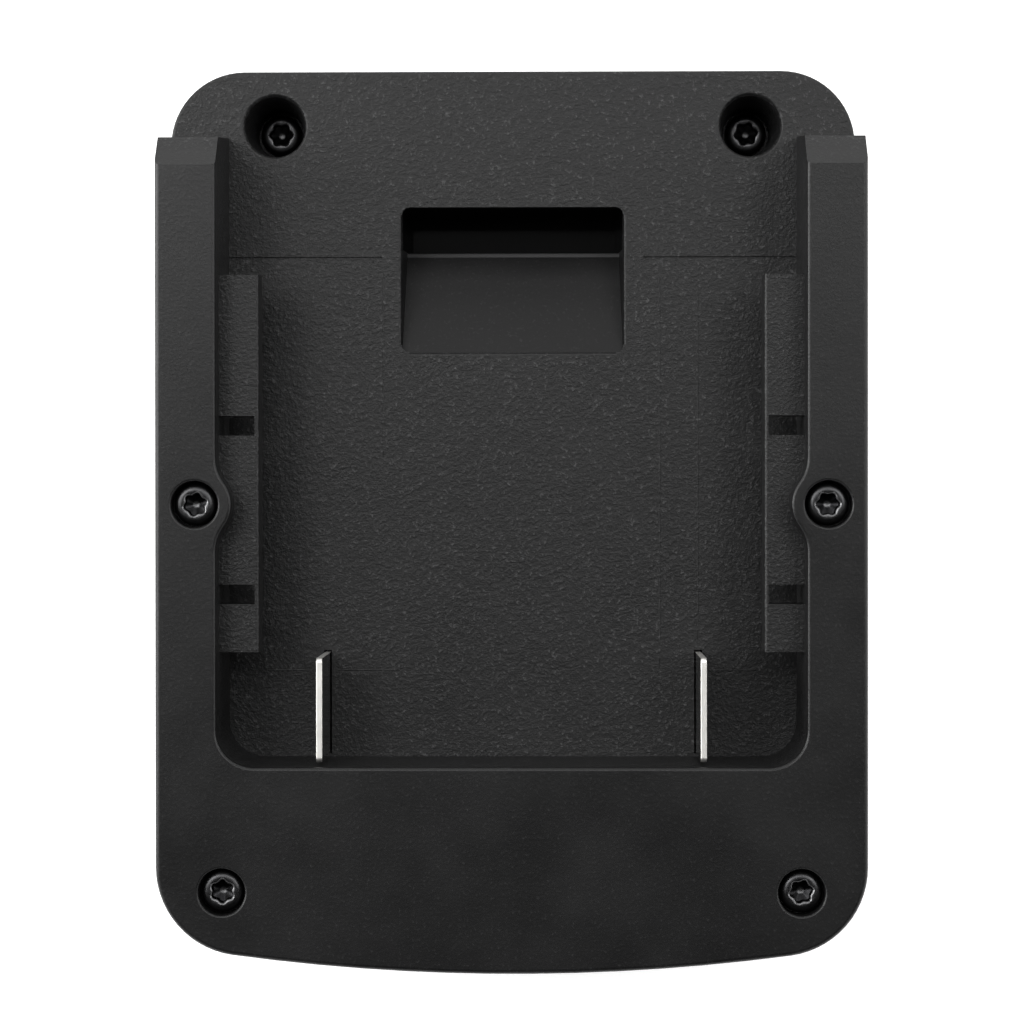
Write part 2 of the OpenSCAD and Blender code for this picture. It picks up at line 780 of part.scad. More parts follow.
// Everything hollow in the cover
module cover_hollow() {
    translate([0, 0, inner_z])
        linear_extrude(cover_h + tongue_h)
            body_outline(wall);
    translate([-hollow_x, hollow_y0, wall])
        cube([2 * hollow_x, hollow_y1 - hollow_y0, inner_z]);
    for (x = [-hollow_x, recess_x + wall])
        translate([x, hollow_y1 - over, wall])
            cube([hollow_x - recess_x - wall, block_y1 - wall - hollow_y1 + over, inner_z]);
    translate([-well_x, latch_y0 - run_gap, deck_z])
        cube([2 * well_x, latch_y1 - latch_y0 + 2 * run_gap, inner_z]);
}

module tool_side_cover() {
    color(BLACK)
        difference() {
            union() {
                difference() {
                    cover_shell();
                    cover_hollow();
                }
                for (sx = [-1, 1]) {
                    for (i = [0, 1])
                        translate([sx * rim_post_x[i], rim_post_y[i], inner_z - wall / 2])
                            cylinder(r = post_r, h = part_z - inner_z + wall / 2);
                    translate([sx * entry_screw_x, entry_screw_y, inner_z - wall / 2])
                        cylinder(r = post_r + 0.4, h = entry_foot_z - inner_z + wall / 2);
                    translate([sx * ear_x, ear_y, wall / 2])
                        cylinder(r = 2.4, h = ear_z - wall / 2);
                    translate([sx * (well_x + 0.75) - 0.75, latch_y0, inner_z - wall / 2])
                        cube([1.5, latch_y1 - latch_y0, wall / 2 + flange_t + latch_travel]);
                }
            }
            for (sx = [-1, 1]) {
                for (i = [0, 1])
                    translate([sx * rim_post_x[i], rim_post_y[i], rim_tip_z - 0.6])
                        cylinder(d = shank_d + 2 * fit_gap, h = part_z);
                translate([sx * entry_screw_x, entry_screw_y, entry_tip_z - 0.4])
                    cylinder(d = shank_d + 2 * fit_gap, h = part_z);
                translate([sx * ear_x, ear_y, wall / 2])
                    cylinder(d = small_shank_d + 2 * fit_gap, h = ear_z);
                translate([sx * contact_x - contact_slot_w / 2, block_y0 - over, -over])
                    cube([contact_slot_w, contact_slot_l + over, contact_slot_h + over]);
            }
            // Recess round the catch, with the catch's opening in its floor
            translate([-recess_x, recess_y, -over])
                cube([catch_recess_w, catch_recess_l + over, catch_recess_d + over]);
            translate([-catch_w / 2 - run_gap, catch_y0 - run_gap, 0])
                cube([catch_w + 2 * run_gap, catch_l + 2 * run_gap, deck_z + over]);
            // Window for the thumb pad
            translate([-window_x, entry_y - wall - over, window_z0])
                cube([2 * window_x, wall + 2 * over, part_z]);
        }
}

// Screws

// Six-lobe drive, outer width d
module drive(d) {
    circle(0.36 * d);
    for (a = [0 : 60 : 300])
        rotate(a)
            translate([0.36 * d, 0])
                circle(0.14 * d);
}

// Screw with a domed head that stands on z = 0
module screw(d, h, shank, l, drive_w, deep) {
    sag = 0.5 * h;
    dome_r = (d * d / 4 + sag * sag) / (2 * sag);
    difference() {
        union() {
            intersection() {
                cylinder(d = d, h = h);
                translate([0, 0, h - dome_r])
                    sphere(dome_r);
            }
            translate([0, 0, 0.8 - l])
                cylinder(d = shank, h = l - 0.4);
            translate([0, 0, -l])
                cylinder(d1 = shank * 0.5, d2 = shank, h = 0.8);
        }
        translate([0, 0, h - deep])
            linear_extrude(deep + over)
                drive(drive_w);
    }
}

module housing_screw(l) {
    screw(head_d, head_h, shank_d, l, drive_d, drive_depth);
}

module small_screw(l) {
    screw(small_head_d, small_head_h, small_shank_d, l, drive_d * 0.8, drive_depth * 0.75);
}

module entry_end_screws() {
    color(STEEL)
        for (sx = [-1, 1])
            translate([sx * entry_screw_x, entry_screw_y, entry_seat_z])
                housing_screw(entry_seat_z - entry_tip_z);
}

module rail_screws() {
    color(STEEL)
        for (sx = [-1, 1])
            translate([sx * rail_screw_x, rail_screw_y, rim_seat_z])
                housing_screw(rim_seat_z - rim_tip_z);
}

module closed_end_screws() {
    color(STEEL)
        for (sx = [-1, 1])
            translate([sx * closed_screw_x, closed_screw_y, rim_seat_z])
                housing_screw(rim_seat_z - rim_tip_z);
}

module retainer_screws() {
    color(STEEL)
        for (sx = [-1, 1])
            translate([sx * retainer_pitch / 2, blade_mid_y, retainer_z])
                rotate([180, 0, 0])
                    small_screw(under_z + 1 - retainer_z);
}

module carrier_screws() {
    color(STEEL)
        for (sx = [-1, 1])
            translate([sx * ear_x, ear_y, ear_z + ear_t])
                small_screw(ear_z + ear_t - wall * 0.65);
}

// Battery blades and their clamp

// Side view of a blade, y across and z up
module blade_shape() {
    difference() {
        translate([blade_y0, under_z - over])
            square([blade_l, blade_top_z - under_z + over]);
        for (y = [blade_y0, blade_y1 - tip_r])
            translate([y, blade_top_z - tip_r])
                difference() {
                    translate([y == blade_y0 ? -over : 0, 0])
                        square([tip_r + over, tip_r + over]);
                    translate([y == blade_y0 ? tip_r : 0, 0])
                        circle(tip_r);
                }
    }
    translate([blade_y0 - shoulder_over, retainer_top_z])
        square([blade_l + 2 * shoulder_over, blade_shoulder_h]);
    translate([blade_mid_y - blade_tail_l / 2, blade_tail_z])
        square([blade_tail_l, under_z - blade_tail_z - over / 2]);
}

module blade(x) {
    color(PLATED)
        translate([x, 0, 0])
            across(blade_t)
                blade_shape();
}

module positive_blade() {
    blade(blade_x);
}

module negative_blade() {
    blade(-blade_x);
}

module blade_retainer() {
    color(GREY)
        difference() {
            translate([-retainer_w / 2, blade_mid_y - retainer_l / 2, retainer_z])
                cube([retainer_w, retainer_l, retainer_t]);
            for (sx = [-1, 1]) {
                translate([sx * blade_x - blade_t / 2 - fit_gap, blade_mid_y - blade_tail_l / 2 - fit_gap, 0])
                    cube([blade_t + 2 * fit_gap, blade_tail_l + 2 * fit_gap, rim_z]);
                translate([sx * retainer_pitch / 2, blade_mid_y, 0])
                    cylinder(d = small_shank_d + 2 * fit_gap, h = rim_z);
            }
        }
}

// Tool side contacts, their carrier and leads

module contact_carrier() {
    jaw_room = jaw + 0.5 + contact_t;
    roof_z = contact_z + contact_h + 0.3;
    color(GREY)
        difference() {
            union() {
                translate([-carrier_w / 2, carrier_y0, wall])
                    cube([carrier_w, carrier_l, carrier_h]);
                translate([-ear_x - 2.4, ear_y - 2.4, ear_z])
                    cube([2 * ear_x + 4.8, 4.8, ear_t]);
            }
            for (sx = [-1, 1]) {
                translate([sx * contact_x - jaw_room, carrier_y0 - over, wall - over])
                    cube([2 * jaw_room, contact_base_y + contact_t + fit_gap - carrier_y0 + over,
                          roof_z - wall + over]);
                translate([sx * contact_x - contact_tail_w / 2 - fit_gap, contact_base_y - fit_gap, roof_z - over])
                    cube([contact_tail_w + 2 * fit_gap, contact_t + 2 * fit_gap, carrier_h]);
                translate([sx * ear_x, ear_y, 0])
                    cylinder(d = small_shank_d + 2 * fit_gap, h = rim_z);
            }
        }
}

// Plan of one sprung leaf, from the base to its flared mouth
module leaf() {
    line = [[jaw, 0.2], [jaw, -3], [0.25, -9.5], [1.2, -11.5]];
    polygon(concat(line, [for (i = [3 : -1 : 0]) line[i] + [contact_t, 0]]));
}

module contact(x) {
    color(COPPER)
        translate([x, contact_base_y, contact_z]) {
            linear_extrude(contact_h) {
                leaf();
                mirror([1, 0])
                    leaf();
                translate([-jaw - contact_t, 0])
                    square([2 * (jaw + contact_t), contact_t]);
            }
            translate([-contact_tail_w / 2, 0, contact_h / 2])
                cube([contact_tail_w, contact_t, contact_tail_z - contact_z - contact_h / 2]);
        }
}

module positive_contact() {
    contact(contact_x);
}

module negative_contact() {
    contact(-contact_x);
}

function unit(v) = v / norm(v);
function bezier(p, t) = pow(1 - t, 3) * p[0] + 3 * t * pow(1 - t, 2) * p[1] + 3 * t * t * (1 - t) * p[2]
    + pow(t, 3) * p[3];

// Tube of radius r along a line of points; ref is a direction the line never takes
module tube(line, r, sides, ref) {
    n = len(line);
    rings = [
        for (i = [0 : n - 1])
            let (
                along = unit(line[min(i + 1, n - 1)] - line[max(i - 1, 0)]),
                u = unit(cross(along, ref)),
                v = cross(along, u)
            )
            for (k = [0 : sides - 1])
                line[i] + r * (cos(360 * k / sides) * u + sin(360 * k / sides) * v)
    ];
    walls = [
        for (i = [0 : n - 2], k = [0 : sides - 1])
            let (a = i * sides + k, b = i * sides + (k + 1) % sides)
            [a, a + sides, b + sides, b]
    ];
    ends = [
        [for (k = [0 : sides - 1]) k],
        [for (k = [sides - 1 : -1 : 0]) (n - 1) * sides + k]
    ];
    polyhedron(rings, concat(walls, ends));
}

// Lead from a contact tail up to a blade tail, drawn for +X
module lead() {
    start = [contact_x, contact_base_y + contact_t + wire_r + fit_gap / 2, contact_tail_z + 0.3];
    stop = [blade_x - blade_t / 2 - 2.2, blade_mid_y, blade_tail_z + 2];
    line = [start, start + [0, 0, 4.2], stop - [4, 0, 0], stop];
    tube([for (i = [0 : 14]) bezier(line, i / 14)], lead_d / 2, 8, unit([start.y - stop.y, stop.x - start.x, 0]));
    translate(start - [0, 0, 2])
        cylinder(r = wire_r, h = 3);
    translate(stop - [1, 0, 0])
        rotate([0, 90, 0])
            cylinder(r = wire_r, h = 3.2 - fit_gap / 2);
}

module positive_lead() {
    color(RED)
        lead();
}

module negative_lead() {
    color(GREY)
        mirror([1, 0, 0])
            lead();
}

// Latch

module latch_slider() {
    color(GREY)
        difference() {
            union() {
                translate([-flange_w / 2, latch_y0, flange_z])
                    cube([flange_w, latch_y1 - latch_y0, flange_t]);
                across(catch_w)
                    polygon([
                        [catch_y0, flange_z + 0.5], [catch_y0, catch_tip_z + catch_l],
                        [catch_y1 - 1, catch_tip_z], [catch_y1, catch_tip_z], [catch_y1, flange_z + 0.5]
                    ]);
                translate([-upright_w / 2, latch_y1 - upright_t, flange_top_z - 0.5])
                    cube([upright_w, upright_t, upright_top_z - flange_top_z + 0.5]);
            }
            for (sx = [-1, 1]) {
                translate([sx * spring_x, spring_y, spring_foot_z])
                    cylinder(d = spring_d + 0.5, h = cup_d + over);
                translate([sx * peg_x, latch_y1 + over, peg_z])
                    rotate([90, 0, 0])
                        cylinder(d = peg_d + 2 * fit_gap, h = upright_t + 2 * over);
            }
        }
}

module release_button() {
    rib_pitch = pad_h / 4;
    color(BLACK) {
        translate([-pad_w / 2, pad_back_y - 0.5, pad_z])
            cube([pad_w, pad_face_y - pad_back_y + 0.5, pad_h]);
        translate([-pad_w / 2 - 1.6, flange_back_y, pad_z])
            cube([pad_w + 3.2, pad_back_y - flange_back_y, pad_h]);
        translate([-upright_w / 2, latch_y1, pad_z + 0.6])
            cube([upright_w, flange_back_y - latch_y1 + 0.3, pad_h - 1.2]);
        for (sx = [-1, 1])
            translate([sx * peg_x, latch_y1 + 0.3, peg_z])
                rotate([90, 0, 0])
                    cylinder(d = peg_d, h = upright_t - 0.1);
        for (i = [0 : 3])
            translate([0, 0, pad_z + (i + 0.5) * rib_pitch])
                across(pad_w - 3)
                    polygon([
                        [pad_face_y - 0.3, -0.55], [pad_face_y, -0.55], [pad_face_y + 0.6, -0.25],
                        [pad_face_y + 0.6, 0.25], [pad_face_y, 0.55], [pad_face_y - 0.3, 0.55]
                    ]);
    }
}

// Spring line: one turn is eight steps, and each end runs straight for one wire diameter
function spring_line() =
    let (
        r = (spring_d - spring_wire) / 2,
        z0 = spring_foot_z + spring_wire / 2 + fit_gap / 2,
        rise = under_z - spring_foot_z - spring_wire - fit_gap,
        steps = 8 * spring_turns,
        coil = [for (i = [0 : steps]) [r * cos(45 * i), r * sin(45 * i), z0 + rise * i / steps]]
    )
    concat([coil[0] - [0, spring_wire, 0]], coil, [coil[steps] + [0, spring_wire, 0]]);

// Least gap between one turn and the next, measured on the points of the line
function turn_gap(line) = min([
    for (i = [0 : len(line) - 1], j = [i + 5 : 1 : len(line) - 1]) norm(line[i] - line[j])
]) - spring_wire;

module spring(x) {
    color(STEEL)
        translate([x, spring_y, 0])
            tube(spring_line(), spring_wire / 2, 6, [0, 0, 1]);
}

module left_latch_spring() {
    spring(-spring_x);
}

module right_latch_spring() {
    spring(spring_x);
}

echo(spring_gap = turn_gap(spring_line()));

battery_tray();
tool_side_cover();
positive_blade();
negative_blade();
blade_retainer();
retainer_screws();
contact_carrier();
carrier_screws();
positive_contact();
negative_contact();
positive_lead();
negative_lead();
latch_slider();
release_button();
left_latch_spring();
right_latch_spring();
entry_end_screws();
rail_screws();
closed_end_screws();
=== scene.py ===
# %% [markdown]
# # A slide-on battery adapter
# The real object joins a battery pack to a tool: a black moulded tray with an open bay on one side, and a
# T-shaped block with a sprung catch on the other. Its solids were drawn in a CAD program and packed, so the
# first step only loads them. They stay where they are: everything after this is about how they look.

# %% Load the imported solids
import math

import bpy
import numpy as np
from mathutils import Matrix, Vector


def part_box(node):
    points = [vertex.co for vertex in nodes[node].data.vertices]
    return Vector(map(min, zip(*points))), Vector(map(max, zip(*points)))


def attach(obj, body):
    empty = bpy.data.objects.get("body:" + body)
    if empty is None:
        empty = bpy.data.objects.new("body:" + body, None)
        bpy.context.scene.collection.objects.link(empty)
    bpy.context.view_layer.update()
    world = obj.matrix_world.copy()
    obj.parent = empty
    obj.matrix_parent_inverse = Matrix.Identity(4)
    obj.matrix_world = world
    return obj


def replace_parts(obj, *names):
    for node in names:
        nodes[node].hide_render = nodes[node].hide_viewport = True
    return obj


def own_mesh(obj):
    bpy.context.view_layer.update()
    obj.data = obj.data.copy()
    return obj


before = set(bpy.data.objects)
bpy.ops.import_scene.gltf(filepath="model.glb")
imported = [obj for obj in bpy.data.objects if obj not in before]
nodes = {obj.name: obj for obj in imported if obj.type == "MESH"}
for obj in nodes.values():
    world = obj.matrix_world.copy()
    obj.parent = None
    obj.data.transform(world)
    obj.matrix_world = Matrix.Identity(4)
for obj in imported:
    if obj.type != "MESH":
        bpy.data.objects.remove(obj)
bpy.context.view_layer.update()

MM = 0.001

# %% [markdown]
# ## Camera
# The photograph looks straight into the bay, from about 330 mm above the table, through a lens of about
# 100 mm. The place and the small tilts below make the corners, screws and blades of the solids fall on the
# places where the photograph shows them. A shifted lens would also do, but a plain tilt needs no shift.

# %% Place the camera
CAMERA_PLACE = (4.21, 2.10, 334.43)
CAMERA_TILT = (-0.369, 0.798, -0.050)
FOCAL_PIXELS, PICTURE_PIXELS, SENSOR = 2920.8, 1024, 36.0
CLIP_NEAR, CLIP_FAR = 0.01, 20.0

scene = bpy.context.scene
camera_data = bpy.data.cameras.new("camera")
camera_data.sensor_width = SENSOR
camera_data.lens = FOCAL_PIXELS * SENSOR / PICTURE_PIXELS
camera_data.clip_start, camera_data.clip_end = CLIP_NEAR, CLIP_FAR
camera = bpy.data.objects.new("camera", camera_data)
camera.location = [v * MM for v in CAMERA_PLACE]
camera.rotation_euler = [math.radians(v) for v in CAMERA_TILT]
scene.collection.objects.link(camera)
scene.camera = camera
scene.view_settings.view_transform = "Standard"
print("lens in mm:", round(camera_data.lens, 2))

# %% [markdown]
# ## Shared grain
# The housing comes from a mould whose walls were eroded by sparks, which leaves a dense matt grain of tiny
# pits. It could be painted as colour, but then it would not react to light. A group of noise textures gives
# a height for the Bump node, a mask of the highest peaks, and slow blotches that make the roughness uneven.

# %% Node group for the moulded grain
def group_with(name, inputs, outputs):
    """An empty shader group with value inputs (name, default) and value outputs (name)."""
    tree = bpy.data.node_groups.new(name, "ShaderNodeTree")
    for label, value in inputs:
        tree.interface.new_socket(label, in_out="INPUT", socket_type="NodeSocketFloat").default_value = value
    for label in outputs:
        tree.interface.new_socket(label, in_out="OUTPUT", socket_type="NodeSocketFloat")
    return tree, tree.nodes.new("NodeGroupInput"), tree.nodes.new("NodeGroupOutput")


def add(tree, kind, values=(), links=(), **settings):
    """A node with settings, plain input values by name or number, and links into its inputs."""
    node = tree.nodes.new("ShaderNode" + kind)
    for key, value in settings.items():
        setattr(node, key, value)
    for key, value in dict(values).items():
        node.inputs[key].default_value = value
    for key, socket in dict(links).items():
        tree.links.new(socket, node.inputs[key])
    return node


def maths(tree, operation, values=(), links=()):
    """The result of a Math node."""
    return add(tree, "Math", values, links, operation=operation).outputs[0]


def remap(tree, value, from_range, to_range, curve="LINEAR"):
    """The result of a Map Range node: a value's place in one range, carried over to another."""
    (low, high), (start, stop) = from_range, to_range
    ends = {"From Min": low, "From Max": high, "To Min": start, "To Max": stop}
    return add(tree, "MapRange", ends, {"Value": value}, interpolation_type=curve).outputs[0]


MM_PER_M, COARSE_SCALE, COARSE_SHARE, PEAKS = 1000.0, 0.33, 0.5, (0.58, 0.72)


def spark_grain_group():
    """Grain = fine noise + half as much coarser noise; specks = the highest peaks of the fine noise."""
    tree, given, out = group_with(
        "spark_grain", [("Grains per mm", 5.0), ("Blotch mm", 9.0)], ["Height", "Specks", "Blotch"])
    place = add(tree, "TexCoord").outputs["Object"]
    per_m = maths(tree, "MULTIPLY", {1: MM_PER_M}, {0: given.outputs["Grains per mm"]})
    fine = add(tree, "TexNoise", {"Detail": 3.0, "Roughness": 0.62}, {"Vector": place, "Scale": per_m})
    wide = maths(tree, "MULTIPLY", {1: COARSE_SCALE}, {0: per_m})
    coarse = add(tree, "TexNoise", {"Detail": 2.0}, {"Vector": place, "Scale": wide})
    both = {0: coarse.outputs["Fac"], 2: fine.outputs["Fac"]}
    height = maths(tree, "MULTIPLY_ADD", {1: COARSE_SHARE}, both)
    peaks = remap(tree, fine.outputs["Fac"], PEAKS, (0.0, 1.0))
    slow = maths(tree, "DIVIDE", {0: MM_PER_M}, {1: given.outputs["Blotch mm"]})
    blotch = add(tree, "TexNoise", {"Detail": 4.0, "Roughness": 0.55}, {"Vector": place, "Scale": slow})
    tree.links.new(height, out.inputs["Height"])
    tree.links.new(peaks, out.inputs["Specks"])
    tree.links.new(blotch.outputs["Fac"], out.inputs["Blotch"])
    return tree


spark_grain = spark_grain_group()
print("group:", spark_grain.name, [s.name for s in spark_grain.interface.items_tree])

# %% [markdown]
# ## Black moulded plastic
# The plastic is nearly black, but not flat: pale specks are painted at the grain's peaks, partly the grain's
# own paler tone and partly painted glints, and the mould leaves patches that are a little more or less matt.
# A mix of two dark greys follows the specks. The bay's floor was left coarser than the rim, so the grain's
# depth follows the height above the table. The catch pocket has its own finish: batteries rub its ramp
# smooth; the ramp's edge is painted pale, a painted highlight; and the slot, from a polished core, is painted
# near black with little shine, painted shade for a deep slot. Masks of boxes pick these places out, which
# needs no extra pieces.

# %% Material for grained plastic
def material_with_shader(name):
    """A new material with a Principled shader wired to its output."""
    made = bpy.data.materials.new(name)
    made.use_nodes = True
    tree = made.node_tree
    return made, tree, tree.nodes["Principled BSDF"]


def inside_box(tree, place, low, high):
    """1 where each coordinate is within half a box's width of its middle, else 0; corners in mm."""
    axes = add(tree, "SeparateXYZ", links={0: place})
    x, y, z = [maths(tree, "COMPARE", {1: (a + b) / 2 * MM, 2: (b - a) / 2 * MM}, {0: axis})
               for axis, a, b in zip(axes.outputs, low, high)]
    return maths(tree, "MULTIPLY", links={0: maths(tree, "MULTIPLY", links={0: x, 1: y}), 1: z})


BLOTCH_SHARE, LESS_MATT, MORE_MATT = 0.12, -0.06, 0.08
RAMP_SHINE, CORE_ROUGH, CORE_HEIGHT = 0.78, 0.12, 0.5


def grained_plastic(name, dark, pale, rough, grains, depth, specular=0.5, calm=None, pocket=None):
    """Two greys mixed by the specks and the blotches, uneven roughness, and the grain as bump height in mm.

    calm = (z from, z to, share, roughness): between these heights in mm the grain shrinks to that share and
    the roughness changes to that one. pocket = three boxes, each (low corner, high corner, value): the ramp,
    a little duller and with that share of the grain; its edge, mixed that far to the pale grey as a painted
    highlight; and the core of the slot, painted dark as painted shade, without grain and with that specular
    level.
    """
    made, tree, shader = material_with_shader(name)
    grain = tree.nodes.new("ShaderNodeGroup")
    grain.node_tree = spark_grain
    grain.inputs["Grains per mm"].default_value = grains
    specks, height, blotch = (grain.outputs[label] for label in ("Specks", "Height", "Blotch"))
    matt = remap(tree, blotch, (0.0, 1.0), (rough + LESS_MATT, rough + MORE_MATT))
    shader.inputs["Specular IOR Level"].default_value = specular
    place = add(tree, "TexCoord").outputs["Object"]
    if calm:
        level = add(tree, "SeparateXYZ", links={0: place}).outputs["Z"]
        heights = (calm[0] * MM, calm[1] * MM)
        share = remap(tree, level, heights, (1.0, calm[2]))
        specks = maths(tree, "MULTIPLY", links={0: specks, 1: share})
        height = maths(tree, "MULTIPLY", links={0: height, 1: share})
        matt = maths(tree, "ADD", links={0: matt, 1: remap(tree, level, heights, (0.0, calm[3] - rough))})
    if pocket:
        ramp, edge, shaded_core = [inside_box(tree, place, *box[:2]) for box in pocket]
        ramp_share, edge_highlight_mix, shaded_core_specular = [box[2] for box in pocket]
        smooth = remap(tree, ramp, (0.0, 1.0), (1.0, ramp_share))
        specks = maths(tree, "MULTIPLY", links={0: specks, 1: smooth})
        height = maths(tree, "MULTIPLY", links={0: height, 1: smooth})
        # The ramp's edge is mixed towards the pale grey: a painted highlight along its rounded edge.
        specks = maths(tree, "MULTIPLY_ADD", {1: edge_highlight_mix}, {0: edge, 2: specks})
    # The specks, partly the grain's paler tone and partly painted glints, and the blotches mix the two greys.
    mix = maths(tree, "MULTIPLY_ADD", {1: BLOTCH_SHARE}, {0: blotch, 2: specks})
    if pocket:
        # In the slot's core the colour falls to the dark grey and the shine to its own level: painted shade of
        # a deep slot.
        mix = add(tree, "Mix", {3: 0.0}, {0: shaded_core, 2: mix}).outputs[0]
        height = add(tree, "Mix", {3: CORE_HEIGHT}, {0: shaded_core, 2: height}).outputs[0]
        matt = add(tree, "Mix", {3: CORE_ROUGH}, {0: shaded_core, 2: matt}).outputs[0]
        shine = remap(tree, shaded_core, (0.0, 1.0), (specular, shaded_core_specular))
        duller = remap(tree, ramp, (0.0, 1.0), (1.0, RAMP_SHINE))
        shine = maths(tree, "MULTIPLY", links={0: shine, 1: duller})
        tree.links.new(shine, shader.inputs["Specular IOR Level"])
    colour = add(tree, "Mix", links={0: mix}, data_type="RGBA")
    colour.inputs[6].default_value, colour.inputs[7].default_value = (*dark, 1), (*pale, 1)
    tree.links.new(colour.outputs[2], shader.inputs["Base Color"])
    tree.links.new(matt, shader.inputs["Roughness"])
    bump = add(tree, "Bump", {"Strength": 1.0, "Distance": depth * MM}, {"Height": height})
    tree.links.new(bump.outputs[0], shader.inputs["Normal"])
    return made


# The pale grey colours the specks, partly painted glints, and the ramp edge's painted highlight.
HOUSING_DARK, HOUSING_PALE = (0.002, 0.002, 0.0021), (0.045, 0.045, 0.0455)
RIM_CALM = (37.2, 38.6, 0.25, 0.36)
RAMP = ((-11.7, 16.9, 15.0), (11.7, 27.82, 26.9), 0.25)
# The ramp edge's box, mixed to the pale grey: a painted highlight.
RAMP_EDGE_HIGHLIGHT = ((-11.4, 27.36, 19.5), (11.4, 27.84, 21.8), 1.1)
# The slot core's box, painted near black with little shine: painted shade.
SLOT_PAINTED_SHADE = ((-12.0, 27.82, 15.0), (12.0, 32.6, 26.0), 0.16)
black_housing = grained_plastic(
    "black_housing", HOUSING_DARK, HOUSING_PALE, rough=0.42, grains=2.8, depth=0.07, specular=0.32,
    calm=RIM_CALM, pocket=(RAMP, RAMP_EDGE_HIGHLIGHT, SLOT_PAINTED_SHADE))
black_button = grained_plastic(
    "black_button", HOUSING_DARK, HOUSING_PALE, rough=0.42, grains=5.0, depth=0.02, specular=0.35)
inner_plastic = grained_plastic(
    "inner_plastic", (0.075, 0.075, 0.08), (0.12, 0.12, 0.125), rough=0.42, grains=3.0, depth=0.012)
red_sleeve = grained_plastic(
    "red_sleeve", (0.36, 0.012, 0.010), (0.48, 0.022, 0.018), rough=0.36, grains=2.0, depth=0.01)
black_sleeve = grained_plastic(
    "black_sleeve", (0.010, 0.010, 0.011), (0.022, 0.022, 0.023), rough=0.36, grains=2.0, depth=0.01)
plastics = (black_housing, black_button, inner_plastic, red_sleeve, black_sleeve)
print("plastics:", [plastic.name for plastic in plastics])

# %% [markdown]
# ## Metals
# The blades are thin nickel-plated sheet, rolled along their length, so fine lines run along them. Their flat
# sides are smooth, and painted darker than the bright cut edges as painted shade. The screws are black oxide
# on steel, and the contacts are bare bronze. An image could hold the lines, but one group of noise makes the
# streaks for all of them.

# %% Node group for drawn metal
TARNISH_PER_M, SMOOTH_LINE, ROUGH_LINE, FLANK = 700.0, -0.08, 0.1, (0.7, 0.95)


def streak_group():
    """Streaks = noise squeezed along one axis; tarnish = slow noise. Across X, Y and Z are grains per mm."""
    tree, given, out = group_with(
        "drawn_streaks", [("Across X", 12.0), ("Across Y", 1.0), ("Across Z", 12.0)], ["Streaks", "Tarnish"])
    place = add(tree, "TexCoord").outputs["Object"]
    size = add(tree, "CombineXYZ", links={
        "X": given.outputs["Across X"], "Y": given.outputs["Across Y"], "Z": given.outputs["Across Z"]})
    per_mm = add(tree, "VectorMath", links={0: place, 1: size.outputs[0]}, operation="MULTIPLY")
    lines = add(tree, "TexNoise", {"Scale": MM_PER_M, "Detail": 2.0}, {"Vector": per_mm.outputs[0]})
    slow = add(tree, "TexNoise", {"Scale": TARNISH_PER_M, "Detail": 3.0}, {"Vector": place})
    tree.links.new(lines.outputs["Fac"], out.inputs["Streaks"])
    tree.links.new(slow.outputs["Fac"], out.inputs["Tarnish"])
    return tree


drawn_streaks = streak_group()


def drawn_metal(name, dark, pale, rough, across, depth, worn_and_highlight_colour=None, shaded_sides=None):
    """Metal whose colour follows the tarnish and whose roughness and bump follow the streaks.

    The worn colour is the pale one where a piece's wear attribute is 1: rubbed metal and a painted highlight.
    The sides (colour, roughness) are for faces that look along x; their darker colour is painted shade.
    """
    made, tree, shader = material_with_shader(name)
    lines = tree.nodes.new("ShaderNodeGroup")
    lines.node_tree = drawn_streaks
    for label, value in zip(("Across X", "Across Y", "Across Z"), across):
        lines.inputs[label].default_value = value
    colour = add(tree, "Mix", links={0: lines.outputs["Tarnish"]}, data_type="RGBA")
    colour.inputs[6].default_value, colour.inputs[7].default_value = (*dark, 1), (*pale, 1)
    # Paler where the wear attribute is high: rubbed metal, with painted highlights, and painted shade left in
    # the screws' drives.
    if worn_and_highlight_colour:
        wear_and_painted_light = add(tree, "Attribute", attribute_name="wear_and_painted_light").outputs["Fac"]
        colour = add(tree, "Mix", {7: (*worn_and_highlight_colour, 1)}, {0: wear_and_painted_light, 6: colour.outputs[2]}, data_type="RGBA")
    matt = remap(tree, lines.outputs["Streaks"], (0.0, 1.0), (rough + SMOOTH_LINE, rough + ROUGH_LINE))
    # Faces that look along x get the darker side colour: painted shade on the blades' flat sides.
    if shaded_sides:
        along = add(tree, "SeparateXYZ", links={0: add(tree, "TexCoord").outputs["Normal"]}).outputs["X"]
        flank = remap(tree, maths(tree, "ABSOLUTE", links={0: along}), FLANK, (0.0, 1.0))
        matt = add(tree, "Mix", {3: shaded_sides[1]}, {0: flank, 2: matt}).outputs[0]
        colour = add(tree, "Mix", {7: (*shaded_sides[0], 1)}, {0: flank, 6: colour.outputs[2]}, data_type="RGBA")
    tree.links.new(colour.outputs[2], shader.inputs["Base Color"])
    tree.links.new(matt, shader.inputs["Roughness"])
    bump = add(tree, "Bump", {"Strength": 1.0, "Distance": depth * MM}, {"Height": lines.outputs["Streaks"]})
    tree.links.new(bump.outputs[0], shader.inputs["Normal"])
    shader.inputs["Metallic"].default_value = 1.0
    return made


